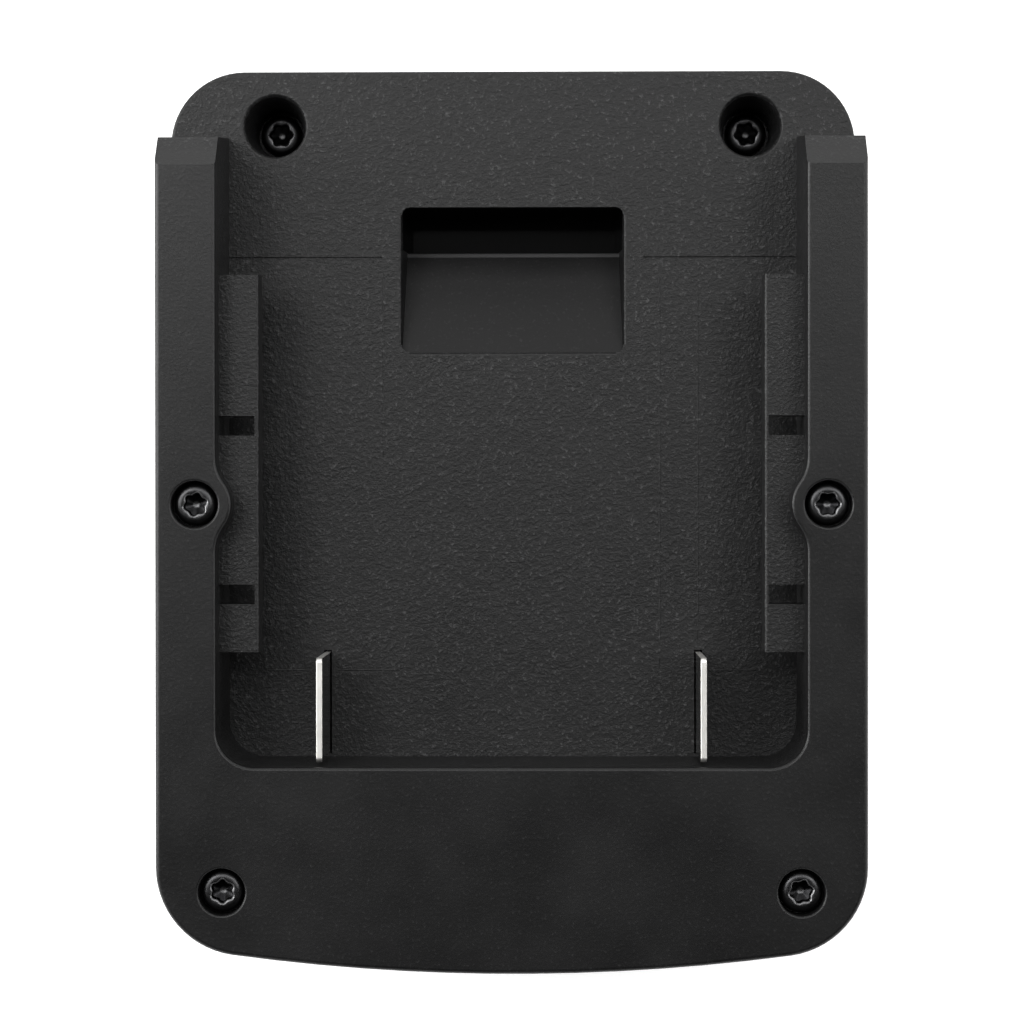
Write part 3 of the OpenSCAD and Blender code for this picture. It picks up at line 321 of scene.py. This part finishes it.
plated_blade = drawn_metal(
    "plated_blade", (0.62, 0.61, 0.58), (0.82, 0.81, 0.78), rough=0.45, across=(14.0, 0.8, 14.0), depth=0.002,
    shaded_sides=((0.34, 0.34, 0.33), 0.1))
contact_bronze = drawn_metal(
    "contact_bronze", (0.55, 0.36, 0.19), (0.72, 0.52, 0.3), rough=0.3, across=(12.0, 12.0, 0.8), depth=0.004)
bare_copper = drawn_metal(
    "bare_copper", (0.60, 0.30, 0.18), (0.78, 0.44, 0.28), rough=0.3, across=(9.0, 9.0, 9.0), depth=0.004)
black_screw = drawn_metal(
    "black_screw", (0.014, 0.014, 0.015), (0.024, 0.024, 0.025), rough=0.32, across=(3.0, 3.0, 3.0),
    depth=0.003, worn_and_highlight_colour=(0.15, 0.15, 0.153))
zinc_screw = drawn_metal(
    "zinc_screw", (0.46, 0.47, 0.49), (0.62, 0.62, 0.62), rough=0.32, across=(3.0, 3.0, 3.0), depth=0.003)
spring_steel = drawn_metal(
    "spring_steel", (0.40, 0.40, 0.41), (0.56, 0.56, 0.57), rough=0.26, across=(5.0, 5.0, 9.0), depth=0.003)
metals = (plated_blade, contact_bronze, bare_copper, black_screw, zinc_screw, spring_steel)
print("metals:", [metal.name for metal in metals])

# %% [markdown]
# ## Meshes from arrays
# Every new piece here is a surface on a grid: one parameter runs round the piece and the other along it.
# numpy works the whole grid out at once, and this helper only numbers the corners of the squares. It closes
# the two ends with a fan, which keeps the piece watertight, and turns a surface that came out inside out.

# %% Helper that turns grids of rings into a mesh
def ring_faces(rows, columns):
    """Corner numbers of the squares between rings, and of the end fans round two extra points.

    Point i * columns + k is point k of ring i; the two fan points follow the last ring.
    """
    i, k = np.meshgrid(np.arange(rows - 1), np.arange(columns), indexing="ij")
    turn, near, far = (k + 1) % columns, i * columns, (i + 1) * columns
    squares = np.stack([near + k, near + turn, far + turn, far + k], -1)
    k = np.arange(columns)
    turn, last, tip = (k + 1) % columns, (rows - 1) * columns, rows * columns
    fans = np.concatenate([np.stack([turn, k, np.full(columns, tip)], -1),
                           np.stack([last + k, last + turn, np.full(columns, tip + 1)], -1)])
    return squares.reshape(-1, 4), fans


def ring_points(rings):
    """All the rings' points in a row, then the middle of the first ring and of the last one."""
    return np.concatenate([rings.reshape(-1, rings.shape[-1]), rings[[0, -1]].mean(1)])


def outward(rings):
    """The rings, run the other way round where the volume, a sixth of the sum of a . (b x c), is negative."""
    squares, fans = ring_faces(*rings.shape[:2])
    corners = np.concatenate([squares[:, [0, 1, 2]], squares[:, [0, 2, 3]], fans])
    a, b, c = np.moveaxis(ring_points(rings)[corners, :3], 1, 0)
    return rings if np.sum(a * np.cross(b, c)) > 0 else rings[:, ::-1]


def make_piece(name, parts, body, finish, smooth_angle=None):
    """A mesh of several closed ring surfaces, in millimetres, that rides on a body.

    A fourth number with each point is kept as its wear and painted light: how pale its colour is painted.
    """
    points, faces, start = [], [], 0
    for rings in map(outward, parts):
        points.append(ring_points(rings))
        for group in ring_faces(*rings.shape[:2]):
            faces += (group + start).tolist()
        start += len(points[-1])
    values = np.concatenate(points)
    mesh = bpy.data.meshes.new(name)
    mesh.from_pydata((values[:, :3] * MM).tolist(), [], faces)
    if values.shape[1] > 3:
        wear_and_painted_light = mesh.attributes.new("wear_and_painted_light", "FLOAT", "POINT")
        wear_and_painted_light.data.foreach_set("value", values[:, 3].astype(np.float32))
    mesh.polygons.foreach_set("use_smooth", np.ones(len(mesh.polygons), bool))
    if smooth_angle:
        mesh.set_sharp_from_angle(angle=math.radians(smooth_angle))
    mesh.update()
    mesh.materials.append(finish)
    piece = bpy.data.objects.new(name, mesh)
    scene.collection.objects.link(piece)
    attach(piece, body)
    print(name, "points:", len(mesh.vertices), "faces:", len(mesh.polygons))
    return piece


# %% [markdown]
# ## Screws
# Six black screws hold the halves together, and four small zinc ones hold the parts inside. Each has a domed
# head with a six-lobed drive and a rolled thread. A lathe profile alone can't give the lobes or the thread,
# so both are waves round the axis: six waves in the drive, and one wave that climbs along the shank. The
# driver has rubbed the black off round the drive, and that ring is also painted pale as a painted highlight;
# a painted highlight spot sits on the drive's floor, and the crown is painted paler than the drive's inside,
# which leaves painted shade in the drive. So each point also carries how pale it is painted.

# %% Lobed and threaded screws
LOBES, LOBE, COLUMNS = 6, 0.1, 72
# Rows of the drive: share of its radius or mm beyond it, mm above its floor or the head's top, lobe and wear
# and painted light: the rubbed ring is painted pale, partly as a painted highlight, and the floor's middle
# gets a painted highlight spot
DRIVE_FLOOR = ((0.2, -0.4, 0.0, 0.6), (0.4, -0.32, 0.0, 0.0), (0.96, 0.0, LOBE, 0.0))
DRIVE_EDGE = ((0.0, -0.2, LOBE, 0.0), (0.02, -0.15, LOBE, 1.0), (0.07, -0.08, LOBE, 1.0),
              (0.15, -0.03, LOBE, 1.0), (0.24, 0.0, 0.5 * LOBE, 0.3))
# The crown is painted a little paler than the drive's inside, which leaves painted shade in the drive.
CROWN_START, CROWN_DROP, CROWN_STEPS, CROWN_PAINTED_LIGHT = 0.34, 0.5, 9, 0.25
HEAD_EDGE, NECK, TIP_LONG, TIP_SHARE = 0.12, 0.02, 0.25, 0.3
STEPS_A_TURN, ROOT_SHARE, RUN_IN, RUN_OUT = 8, 0.8, 0.8, 1.6
POINT_SHARE, POINT_LONG, CREST_STEEP, CREST_CUT = 0.62, 2.2, 1.9, 0.6


def screw_rings(at, seat, up, turn, head, shank, drive, length, pitch):
    """Rings from the drive's floor, up its wall, over the head and down the shank to the tip.

    A ring's radius is r * (1 + lobe * cos(6 (a - turn))), and r follows a quarter ellipse over the crown. On
    the shank r is the root plus the thread's depth times a clipped triangle wave of a / circle + z / pitch.
    head and drive are (diameter, height or depth); up is 1 or -1.
    """
    angle = np.linspace(0.0, 2.0 * np.pi, COLUMNS, endpoint=False)
    half, tall = head[0] / 2, head[1]
    deep, wide = drive[1], drive[0] / 2 / (1 + LOBE)
    floor = [(share * wide, tall - deep + z, lobe, wear_and_painted_light) for share, z, lobe, wear_and_painted_light in DRIVE_FLOOR]
    edge = [(wide + out, tall + z, lobe, wear_and_painted_light) for out, z, lobe, wear_and_painted_light in DRIVE_EDGE]
    slope, start = np.linspace(0.0, np.pi / 2, CROWN_STEPS), wide + CROWN_START
    crown = np.stack([start + (half - start) * np.sin(slope), tall - CROWN_DROP * tall * (1 - np.cos(slope)),
                      0 * slope, np.full(CROWN_STEPS, CROWN_PAINTED_LIGHT)], -1)
    under = [(half, HEAD_EDGE, 0, 0), (half - HEAD_EDGE, 0, 0, 0), (shank / 2 + NECK, 0, 0, 0)]
    profile = np.concatenate([floor, edge, crown, under])
    radius = profile[:, :1] * (1 + profile[:, 2:3] * np.cos(LOBES * (angle - math.radians(turn))))
    z = np.repeat(profile[:, 1:2], COLUMNS, 1)
    down = np.linspace(NECK, length - TIP_LONG, int(length / pitch * STEPS_A_TURN))[:, None]
    wave = np.abs(2 * ((angle / (2 * np.pi) + down / pitch) % 1.0) - 1)
    ends = np.clip(down / RUN_IN, 0, 1) * np.clip((length - down) / RUN_OUT, 0, 1)
    root = ROOT_SHARE * shank / 2 * np.clip(POINT_SHARE + (length - down) / POINT_LONG, 0, 1)
    thread = root + (1 - ROOT_SHARE) * shank / 2 * np.clip(CREST_STEEP * wave - CREST_CUT, 0, 1) * ends
    tip = np.full((1, COLUMNS), TIP_SHARE * shank / 2)
    radius = np.concatenate([radius, thread, tip])
    z = np.concatenate([z, np.repeat(-down, COLUMNS, 1), np.full((1, COLUMNS), -length)])
    wear_and_painted_light = np.zeros_like(z)
    wear_and_painted_light[:len(profile)] = profile[:, 3:]
    return np.stack([at[0] + radius * np.cos(angle), at[1] + radius * np.sin(angle), seat + up * z, wear_and_painted_light], -1)


# A kind: slot, finish, head, shank, drive, pitch. A pair: kind, place, seat, up, length, turns in degrees
HOUSING_SCREW = ("black_screw", black_screw, (4.4, 1.69), 2.6, (2.35, 1.1), 1.1)
SMALL_SCREW = ("zinc_screw", zinc_screw, (3.8, 1.32), 2.0, (1.9, 0.75), 0.8)
SCREWS = {
    "rail_screws": (HOUSING_SCREW, (32.0, 1.0), 37.6, 1, 24.4, (17, 0)),
    "closed_end_screws": (HOUSING_SCREW, (29.3, -38.2), 37.6, 1, 24.4, (30, 12)),
    "entry_end_screws": (HOUSING_SCREW, (25.0, 40.7), 18.3, 1, 7.2, (0, 10)),
    "retainer_screws": (SMALL_SCREW, (10.0, -19.9), 20.0, -1, 5.5, (22, 5)),
    "carrier_screws": (SMALL_SCREW, (18.6, -28.5), 7.8, 1, 6.37, (8, 41)),
}
SCREW_EDGE_LIMIT = 32.0
for name, (kind, (x, y), seat, up, length, turns) in SCREWS.items():
    slot, finish, head, shank, drive, pitch = kind
    pair = [screw_rings((side * x, y), seat, up, turn, head, shank, drive, length, pitch)
            for side, turn in zip((-1, 1), turns)]
    piece = make_piece("turned_" + name, pair, "housing", finish, SCREW_EDGE_LIMIT)
    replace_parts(piece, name)
    low, high = np.array(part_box(name)) / MM
    made = np.concatenate([ring.reshape(-1, 4)[:, :3] for ring in pair])
    print("  off the solid's box by", np.round(made.min(0) - low, 2), np.round(made.max(0) - high, 2))

# %% [markdown]
# ## Latch springs
# Two compression springs push the catch out. Each is a round wire on a helix whose first and last turns lie
# flat and are ground off level. A screw modifier could wind it, but a helix is one formula, and grinding is
# one clip of the heights. The springs stand in the housing.

# %% Wound springs
SPRING_X, SPRING_Y, SPRING_LOW, SPRING_HIGH = 10.2, 37.1, 9.89, 24.41
WIRE, COIL_RADIUS, TURNS, DEAD_TURNS = 0.6, 2.0, 8.0, 1.0
STEPS_A_COIL, WIRE_COLUMNS, GROUND_SHARE, DEAD_RISE = 40, 12, 0.4, 0.85


def spring_rings(x):
    """Wire rings along a helix that rises by most of a wire over each dead turn and evenly between them."""
    t = np.linspace(0.0, TURNS, int(TURNS * STEPS_A_COIL) + 1)
    knots = [0.0, DEAD_TURNS, TURNS - DEAD_TURNS, TURNS]
    low, high = SPRING_LOW + GROUND_SHARE * WIRE, SPRING_HIGH - GROUND_SHARE * WIRE
    rise = np.interp(t, knots, [low, low + DEAD_RISE * WIRE, high - DEAD_RISE * WIRE, high])
    turn = 2.0 * np.pi * t[:, None]
    round_wire = np.linspace(0.0, 2.0 * np.pi, WIRE_COLUMNS, endpoint=False)
    reach = COIL_RADIUS + WIRE / 2 * np.cos(round_wire)
    z = np.clip(rise[:, None] + WIRE / 2 * np.sin(round_wire), SPRING_LOW, SPRING_HIGH)
    return np.stack([x + reach * np.cos(turn), SPRING_Y + reach * np.sin(turn), z], -1)


for side, name in ((-1, "left_latch_spring"), (1, "right_latch_spring")):
    coil = spring_rings(side * SPRING_X)
    piece = make_piece("wound_" + name, [coil], "housing", spring_steel)
    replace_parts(piece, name)
    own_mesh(piece)

# %% [markdown]
# ## Leads
# Inside, a short lead joins each blade to the contact on the tool side: a soft sleeve over seven twisted
# strands, bare at both ends where it is soldered. One smooth path carries them all: the sleeve is a tube on
# it, and a strand is a thinner tube that winds round it.

# %% Sleeves and strands
LEAD_START, LEAD_STOP, LEAD_RADIUS = (11.0, -25.21, 12.3), (16.9, -19.9, 18.0), 1.4
LEAD_RISE, LEAD_RUN, BARE_LOW, BARE_FAR = 4.2, 4.0, 2.0, 2.15
STRAND_RADIUS, STRAND_CENTRE, LAY_TURNS, OUTER_STRANDS = 0.28, 0.56, 2.2, 6
PATH_STEPS, BARE_STEPS, SLEEVE_COLUMNS, STRAND_COLUMNS = 49, 8, 28, 10
END_ROUND, END_STEPS = 0.35, 2


def lead_path(bare):
    """Points of a cubic Bezier curve, up from the contact and over to the blade; bare adds straight ends."""
    t = np.linspace(0.0, 1.0, PATH_STEPS)[:, None]
    start, stop = np.array(LEAD_START), np.array(LEAD_STOP)
    lift, reach = start + (0, 0, LEAD_RISE), stop - (LEAD_RUN, 0, 0)
    curve = (1 - t) ** 3 * start + 3 * (1 - t) ** 2 * t * lift + 3 * (1 - t) * t ** 2 * reach + t ** 3 * stop
    if not bare:
        return curve
    ends = np.linspace(1.0, 0.0, BARE_STEPS, endpoint=False)[:, None]
    return np.concatenate([start - ends * (0, 0, BARE_LOW), curve, stop + ends[::-1] * (BARE_FAR, 0, 0)])


def tube_rings(path, radius, columns, offset=0.0, phase=0.0):
    """Circles across the path, in the plane of two normals, moved off it on a helix by offset.

    The first normal is the tangent crossed with Y, which no part of the path follows.
    """
    along = np.gradient(path, axis=0)
    along /= np.linalg.norm(along, axis=1, keepdims=True)
    across = np.cross(along, (0.0, 1.0, 0.0))
    across /= np.linalg.norm(across, axis=1, keepdims=True)
    other = np.cross(along, across)
    share = np.linspace(0.0, 1.0, len(path))[:, None]
    lay = phase + 2.0 * np.pi * LAY_TURNS * share
    middle = path + offset * (np.cos(lay) * across + np.sin(lay) * other)
    a = np.linspace(0.0, 2.0 * np.pi, columns, endpoint=False)[None, :, None]
    ring = np.cos(a) * across[:, None] + np.sin(a) * other[:, None]
    return middle[:, None] + np.asarray(radius).reshape(-1, 1, 1) * ring


LEADS = {"positive_lead": (1, "red_lead", red_sleeve), "negative_lead": (-1, "black_lead", black_sleeve)}
for name, (side, slot, finish) in LEADS.items():
    flip = np.array((side, 1, 1))
    route, wire_route = lead_path(False), lead_path(True)
    to_end = np.minimum(np.arange(PATH_STEPS), np.arange(PATH_STEPS)[::-1])
    narrowed = END_ROUND * np.clip(1 - to_end / END_STEPS, 0, 1) ** 2
    sleeve = tube_rings(route, LEAD_RADIUS - narrowed, SLEEVE_COLUMNS) * flip
    wires = [tube_rings(wire_route, STRAND_RADIUS, STRAND_COLUMNS) * flip]
    wires += [tube_rings(wire_route, STRAND_RADIUS, STRAND_COLUMNS, STRAND_CENTRE, turn) * flip
              for turn in np.arange(OUTER_STRANDS) * 2 * np.pi / OUTER_STRANDS]
    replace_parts(make_piece(name + "_sleeve", [sleeve], "housing", finish), name)
    make_piece(name + "_strands", wires, "housing", bare_copper)
    print("  sleeve length in mm:", round(float(np.linalg.norm(np.diff(route, axis=0), axis=1).sum()), 1))

# %% [markdown]
# ## Witness lines
# The bay's floor was moulded against several inserts. Where two of them met, a hair of plastic crept in
# between and left a line that can just be felt. A bump would do, but a real ridge also casts its thread of
# shade, so each line is a low half-round bar, sunk into the floor by half its thickness.

# %% Lines on the bay's floor
FLOOR_Z, LINE_WIDE, LINE_TALL, LINE_TIP = 27.0, 0.16, 0.02, 0.15
LINE_STEPS, LINE_COLUMNS, FADE_STEEP = 33, 8, 12
WITNESS = [((15.45, 26.3), (15.45, -16.5)), ((19.45, 26.3), (19.45, -13.6)),
           ((-25.9, -16.55), (-21.2, -16.55)), ((21.2, -16.55), (25.9, -16.55)),
           ((-18.4, -16.5), (-12.0, -16.5)), ((-13.6, 26.3), (-13.6, 6.0))]


def ridge_rings(start, stop):
    """Low ellipses carried along a straight line, which shrink over the last twelfth of it at each end."""
    t = np.linspace(0.0, 1.0, LINE_STEPS)[:, None]
    whole = np.array(stop) - start
    middle, along = np.array(start) + t * whole, whole / np.linalg.norm(whole)
    a = np.linspace(0.0, 2.0 * np.pi, LINE_COLUMNS, endpoint=False)
    fade = LINE_TIP + (1 - LINE_TIP) * np.clip(FADE_STEEP * np.minimum(t, 1 - t), 0, 1)
    side = LINE_WIDE / 2 * np.cos(a) * fade
    return np.stack([middle[:, :1] - along[1] * side, middle[:, 1:] + along[0] * side,
                     FLOOR_Z + LINE_TALL * np.sin(a) * fade], -1)


ridges = [ridge_rings(*line) for line in WITNESS]
make_piece("floor_witness_lines", ridges, "housing", black_housing)

# %% [markdown]
# ## Dressing the solids
# A imported solid is a bag of loose triangles with hard edges, and its mesh may not be changed. Modifiers leave
# its mesh alone: the first welds the triangles and keeps an edge sharp where its faces turn far, the second
# joins the triangles of a flat face, and the last lets large faces decide the shading of small ones. The small
# parts also get a rounded edge, which their solids lack.

# %% Node groups that weld a solid
EDGE_LIMIT, WELD_REACH = 38.0, 0.002


def weld_group(name, rounded):
    """Welds points within a hair of each other and sorts the edges by how far their faces turn.

    An edge beyond the limit stays sharp. Where the solid gets rounded, an outer edge is marked for that.
    """
    tree = bpy.data.node_groups.new(name, "GeometryNodeTree")
    tree.interface.new_socket("Geometry", in_out="INPUT", socket_type="NodeSocketGeometry")
    tree.interface.new_socket("Geometry", in_out="OUTPUT", socket_type="NodeSocketGeometry")
    given, out = tree.nodes.new("NodeGroupInput"), tree.nodes.new("NodeGroupOutput")
    weld = tree.nodes.new("GeometryNodeMergeByDistance")
    weld.inputs["Distance"].default_value = WELD_REACH * MM
    smooth = tree.nodes.new("GeometryNodeSetShadeSmooth")
    crease = tree.nodes.new("GeometryNodeSetShadeSmooth")
    crease.domain = "EDGE"
    crease.inputs["Shade Smooth"].default_value = False
    angle = tree.nodes.new("GeometryNodeInputMeshEdgeAngle")
    limit = math.radians(EDGE_LIMIT)
    if rounded:
        inner = maths(tree, "LESS_THAN", {1: -limit}, {0: angle.outputs["Signed Angle"]})
        outer = maths(tree, "GREATER_THAN", {1: limit}, {0: angle.outputs["Signed Angle"]})
        store = tree.nodes.new("GeometryNodeStoreNamedAttribute")
        store.data_type, store.domain = "FLOAT", "EDGE"
        store.inputs["Name"].default_value = "bevel_weight_edge"
        tree.links.new(outer, store.inputs["Value"])
        tree.links.new(crease.outputs["Geometry"], store.inputs["Geometry"])
        last = store.outputs["Geometry"]
    else:
        inner = maths(tree, "GREATER_THAN", {1: limit}, {0: angle.outputs["Unsigned Angle"]})
        last = crease.outputs["Geometry"]
    tree.links.new(given.outputs[0], weld.inputs["Geometry"])
    tree.links.new(weld.outputs["Geometry"], smooth.inputs["Geometry"])
    tree.links.new(smooth.outputs["Geometry"], crease.inputs["Geometry"])
    tree.links.new(inner, crease.inputs["Selection"])
    tree.links.new(last, out.inputs[0])
    return tree


weld_sharp, weld_rounded = weld_group("weld_sharp", False), weld_group("weld_rounded", True)
print("welds:", weld_sharp.name, weld_rounded.name)

# %% Modifiers and finishes for the solids
FLAT_LIMIT, EDGE_STEPS, FACE_WEIGHT = 0.4, 2, 60


def dress(name, finish, edge):
    """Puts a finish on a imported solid, and rounds its outer edges where the radius in mm isn't 0."""
    solid = nodes[name]
    solid.data.materials.clear()
    solid.data.materials.append(finish)
    solid.modifiers.new("weld", "NODES").node_group = weld_rounded if edge else weld_sharp
    flat = solid.modifiers.new("whole_faces", "DECIMATE")
    flat.decimate_type, flat.angle_limit = "DISSOLVE", math.radians(FLAT_LIMIT)
    if edge:
        bevel = solid.modifiers.new("rounded_edge", "BEVEL")
        bevel.width, bevel.segments, bevel.limit_method = edge * MM, EDGE_STEPS, "WEIGHT"
        bevel.use_clamp_overlap, bevel.miter_outer = False, "MITER_ARC"
    even = solid.modifiers.new("even_shading", "WEIGHTED_NORMAL")
    even.weight, even.keep_sharp = FACE_WEIGHT, True


FINISHES = {
    "battery_tray": (black_housing, 0.0), "tool_side_cover": (black_housing, 0.0),
    "release_button": (black_button, 0.15), "latch_slider": (inner_plastic, 0.2),
    "blade_retainer": (inner_plastic, 0.2), "contact_carrier": (inner_plastic, 0.2),
    "positive_blade": (plated_blade, 0.1), "negative_blade": (plated_blade, 0.1),
    "positive_contact": (contact_bronze, 0.06), "negative_contact": (contact_bronze, 0.06),
}
graph = bpy.context.evaluated_depsgraph_get()
for name, (finish, edge) in FINISHES.items():
    dress(name, finish, edge)
graph.update()
for name in FINISHES:
    plain, dressed = nodes[name].data, nodes[name].evaluated_get(graph).data
    print(name, "faces:", len(plain.polygons), "->", len(dressed.polygons))

# %% [markdown]
# ## Table
# The adapter lies on its slide face on a plain white table, as in a product photograph. More light would make
# the table white, but it would bleach the adapter too. So the table glows only for rays that see it, which
# brings it up to white and keeps the soft shadow.

# %% White table
def white_when_seen(tree, glow):
    """Light Path: 1 for camera, glossy and transmission rays, times the glow."""
    path = add(tree, "LightPath").outputs
    either = maths(tree, "MAXIMUM", links={0: path["Is Camera Ray"], 1: path["Is Glossy Ray"]})
    seen = maths(tree, "MAXIMUM", links={0: either, 1: path["Is Transmission Ray"]})
    return maths(tree, "MULTIPLY", {1: glow}, {0: seen})


TABLE_HALF, TABLE_STEPS, TABLE_GLOW = 3.0, 9, 0.6
TABLE_GREY, TABLE_ROUGH, TABLE_SPECULAR = 0.8, 0.7, 0.2
steps = np.linspace(-TABLE_HALF, TABLE_HALF, TABLE_STEPS)
table_x, table_y = np.meshgrid(steps, steps, indexing="ij")
corners = np.stack([table_x, table_y, np.zeros_like(table_x)], -1).reshape(-1, 3)
i, k = np.meshgrid(np.arange(TABLE_STEPS - 1), np.arange(TABLE_STEPS - 1), indexing="ij")
near, far = i * TABLE_STEPS + k, (i + 1) * TABLE_STEPS + k
squares = np.stack([near, far, far + 1, near + 1], -1).reshape(-1, 4)
table_mesh = bpy.data.meshes.new("table")
table_mesh.from_pydata(corners.tolist(), [], squares.tolist())
table = bpy.data.objects.new("table", table_mesh)
scene.collection.objects.link(table)
table_finish, tree, shader = material_with_shader("white_table")
shader.inputs["Base Color"].default_value = (TABLE_GREY, TABLE_GREY, TABLE_GREY, 1)
shader.inputs["Roughness"].default_value = TABLE_ROUGH
shader.inputs["Specular IOR Level"].default_value = TABLE_SPECULAR
shader.inputs["Emission Color"].default_value = (1, 1, 1, 1)
tree.links.new(white_when_seen(tree, TABLE_GLOW), shader.inputs["Emission Strength"])
table.data.materials.append(table_finish)
print("table squares:", len(table_mesh.polygons))

# %% [markdown]
# ## Lamps
# Dark plastic shows mostly what it mirrors, so bare lamps would leave hard dots on it. Soft boxes give a
# broad sheen instead: three above the entry end, whose sheen fades towards the closed end. A long one farther
# out lights the slopes that face the entry end, and a low one on each side draws a line along the rounded
# edges.

# %% Soft boxes
def soft_box(name, place, target, size, power):
    """An area lamp at a place, in metres, that faces a target."""
    lamp = bpy.data.lights.new(name, "AREA")
    lamp.shape, lamp.size, lamp.size_y, lamp.energy = "RECTANGLE", size[0], size[1], power
    lit = bpy.data.objects.new(name, lamp)
    scene.collection.objects.link(lit)
    lit.location = place
    away = np.array(place) - np.array(target)
    away /= np.linalg.norm(away)
    side = np.cross((0.0, 0.0, 1.0), away)
    side /= np.linalg.norm(side)
    axes = np.stack([side, np.cross(away, side), away], -1)
    lit.rotation_mode = "QUATERNION"
    lit.rotation_quaternion = Matrix(axes.tolist()).to_quaternion()
    lit.visible_camera = False


BOXES = {
    "upper_left_box": ((-0.40, 0.25, 0.80), (0.4, 0.4), 3.2),
    "upper_right_box": ((0.40, 0.25, 0.80), (0.4, 0.4), 2.35),
    "overhead_box": ((-0.02, 0.29, 0.86), (0.3, 0.3), 1.05),
    "entry_box": ((0.0, 0.75, 0.65), (1.0, 0.4), 2.4),
    "left_box": ((-0.60, 0.08, 0.32), (0.3, 0.5), 3.8),
    "right_box": ((0.60, 0.08, 0.32), (0.3, 0.5), 1.0),
}
LIT_PLACE = (0.0, 0.0, 0.03)
for name, (place, size, power) in BOXES.items():
    soft_box(name, place, LIT_PLACE, size, power)

# %% [markdown]
# ## Room
# From the side, the upright walls mirror the room. An even grey room would make them flat, so the world is a
# bright band round the horizon that fades out upwards, with a little light from the ceiling. Beyond the
# table's edge the camera sees that band, which is white.

# %% World
HORIZON, MIDDLE, ZENITH = 1.6, 0.0, 0.03
WALL_TOP, CEILING_EDGE = (0.30, 0.45), (0.75, 0.9)
world = bpy.data.worlds.new("studio")
world.use_nodes = True
scene.world = world
tree = world.node_tree
room = tree.nodes["Background"]
room.inputs["Color"].default_value = (1, 1, 1, 1)
upward = add(tree, "SeparateXYZ", links={0: add(tree, "TexCoord").outputs["Generated"]}).outputs["Z"]
walls = remap(tree, upward, WALL_TOP, (HORIZON, MIDDLE), "SMOOTHSTEP")
ceiling = remap(tree, upward, CEILING_EDGE, (0.0, ZENITH - MIDDLE), "SMOOTHSTEP")
tree.links.new(maths(tree, "ADD", links={0: walls, 1: ceiling}), room.inputs["Strength"])
print("world:", world.name, "strengths:", HORIZON, MIDDLE, ZENITH)
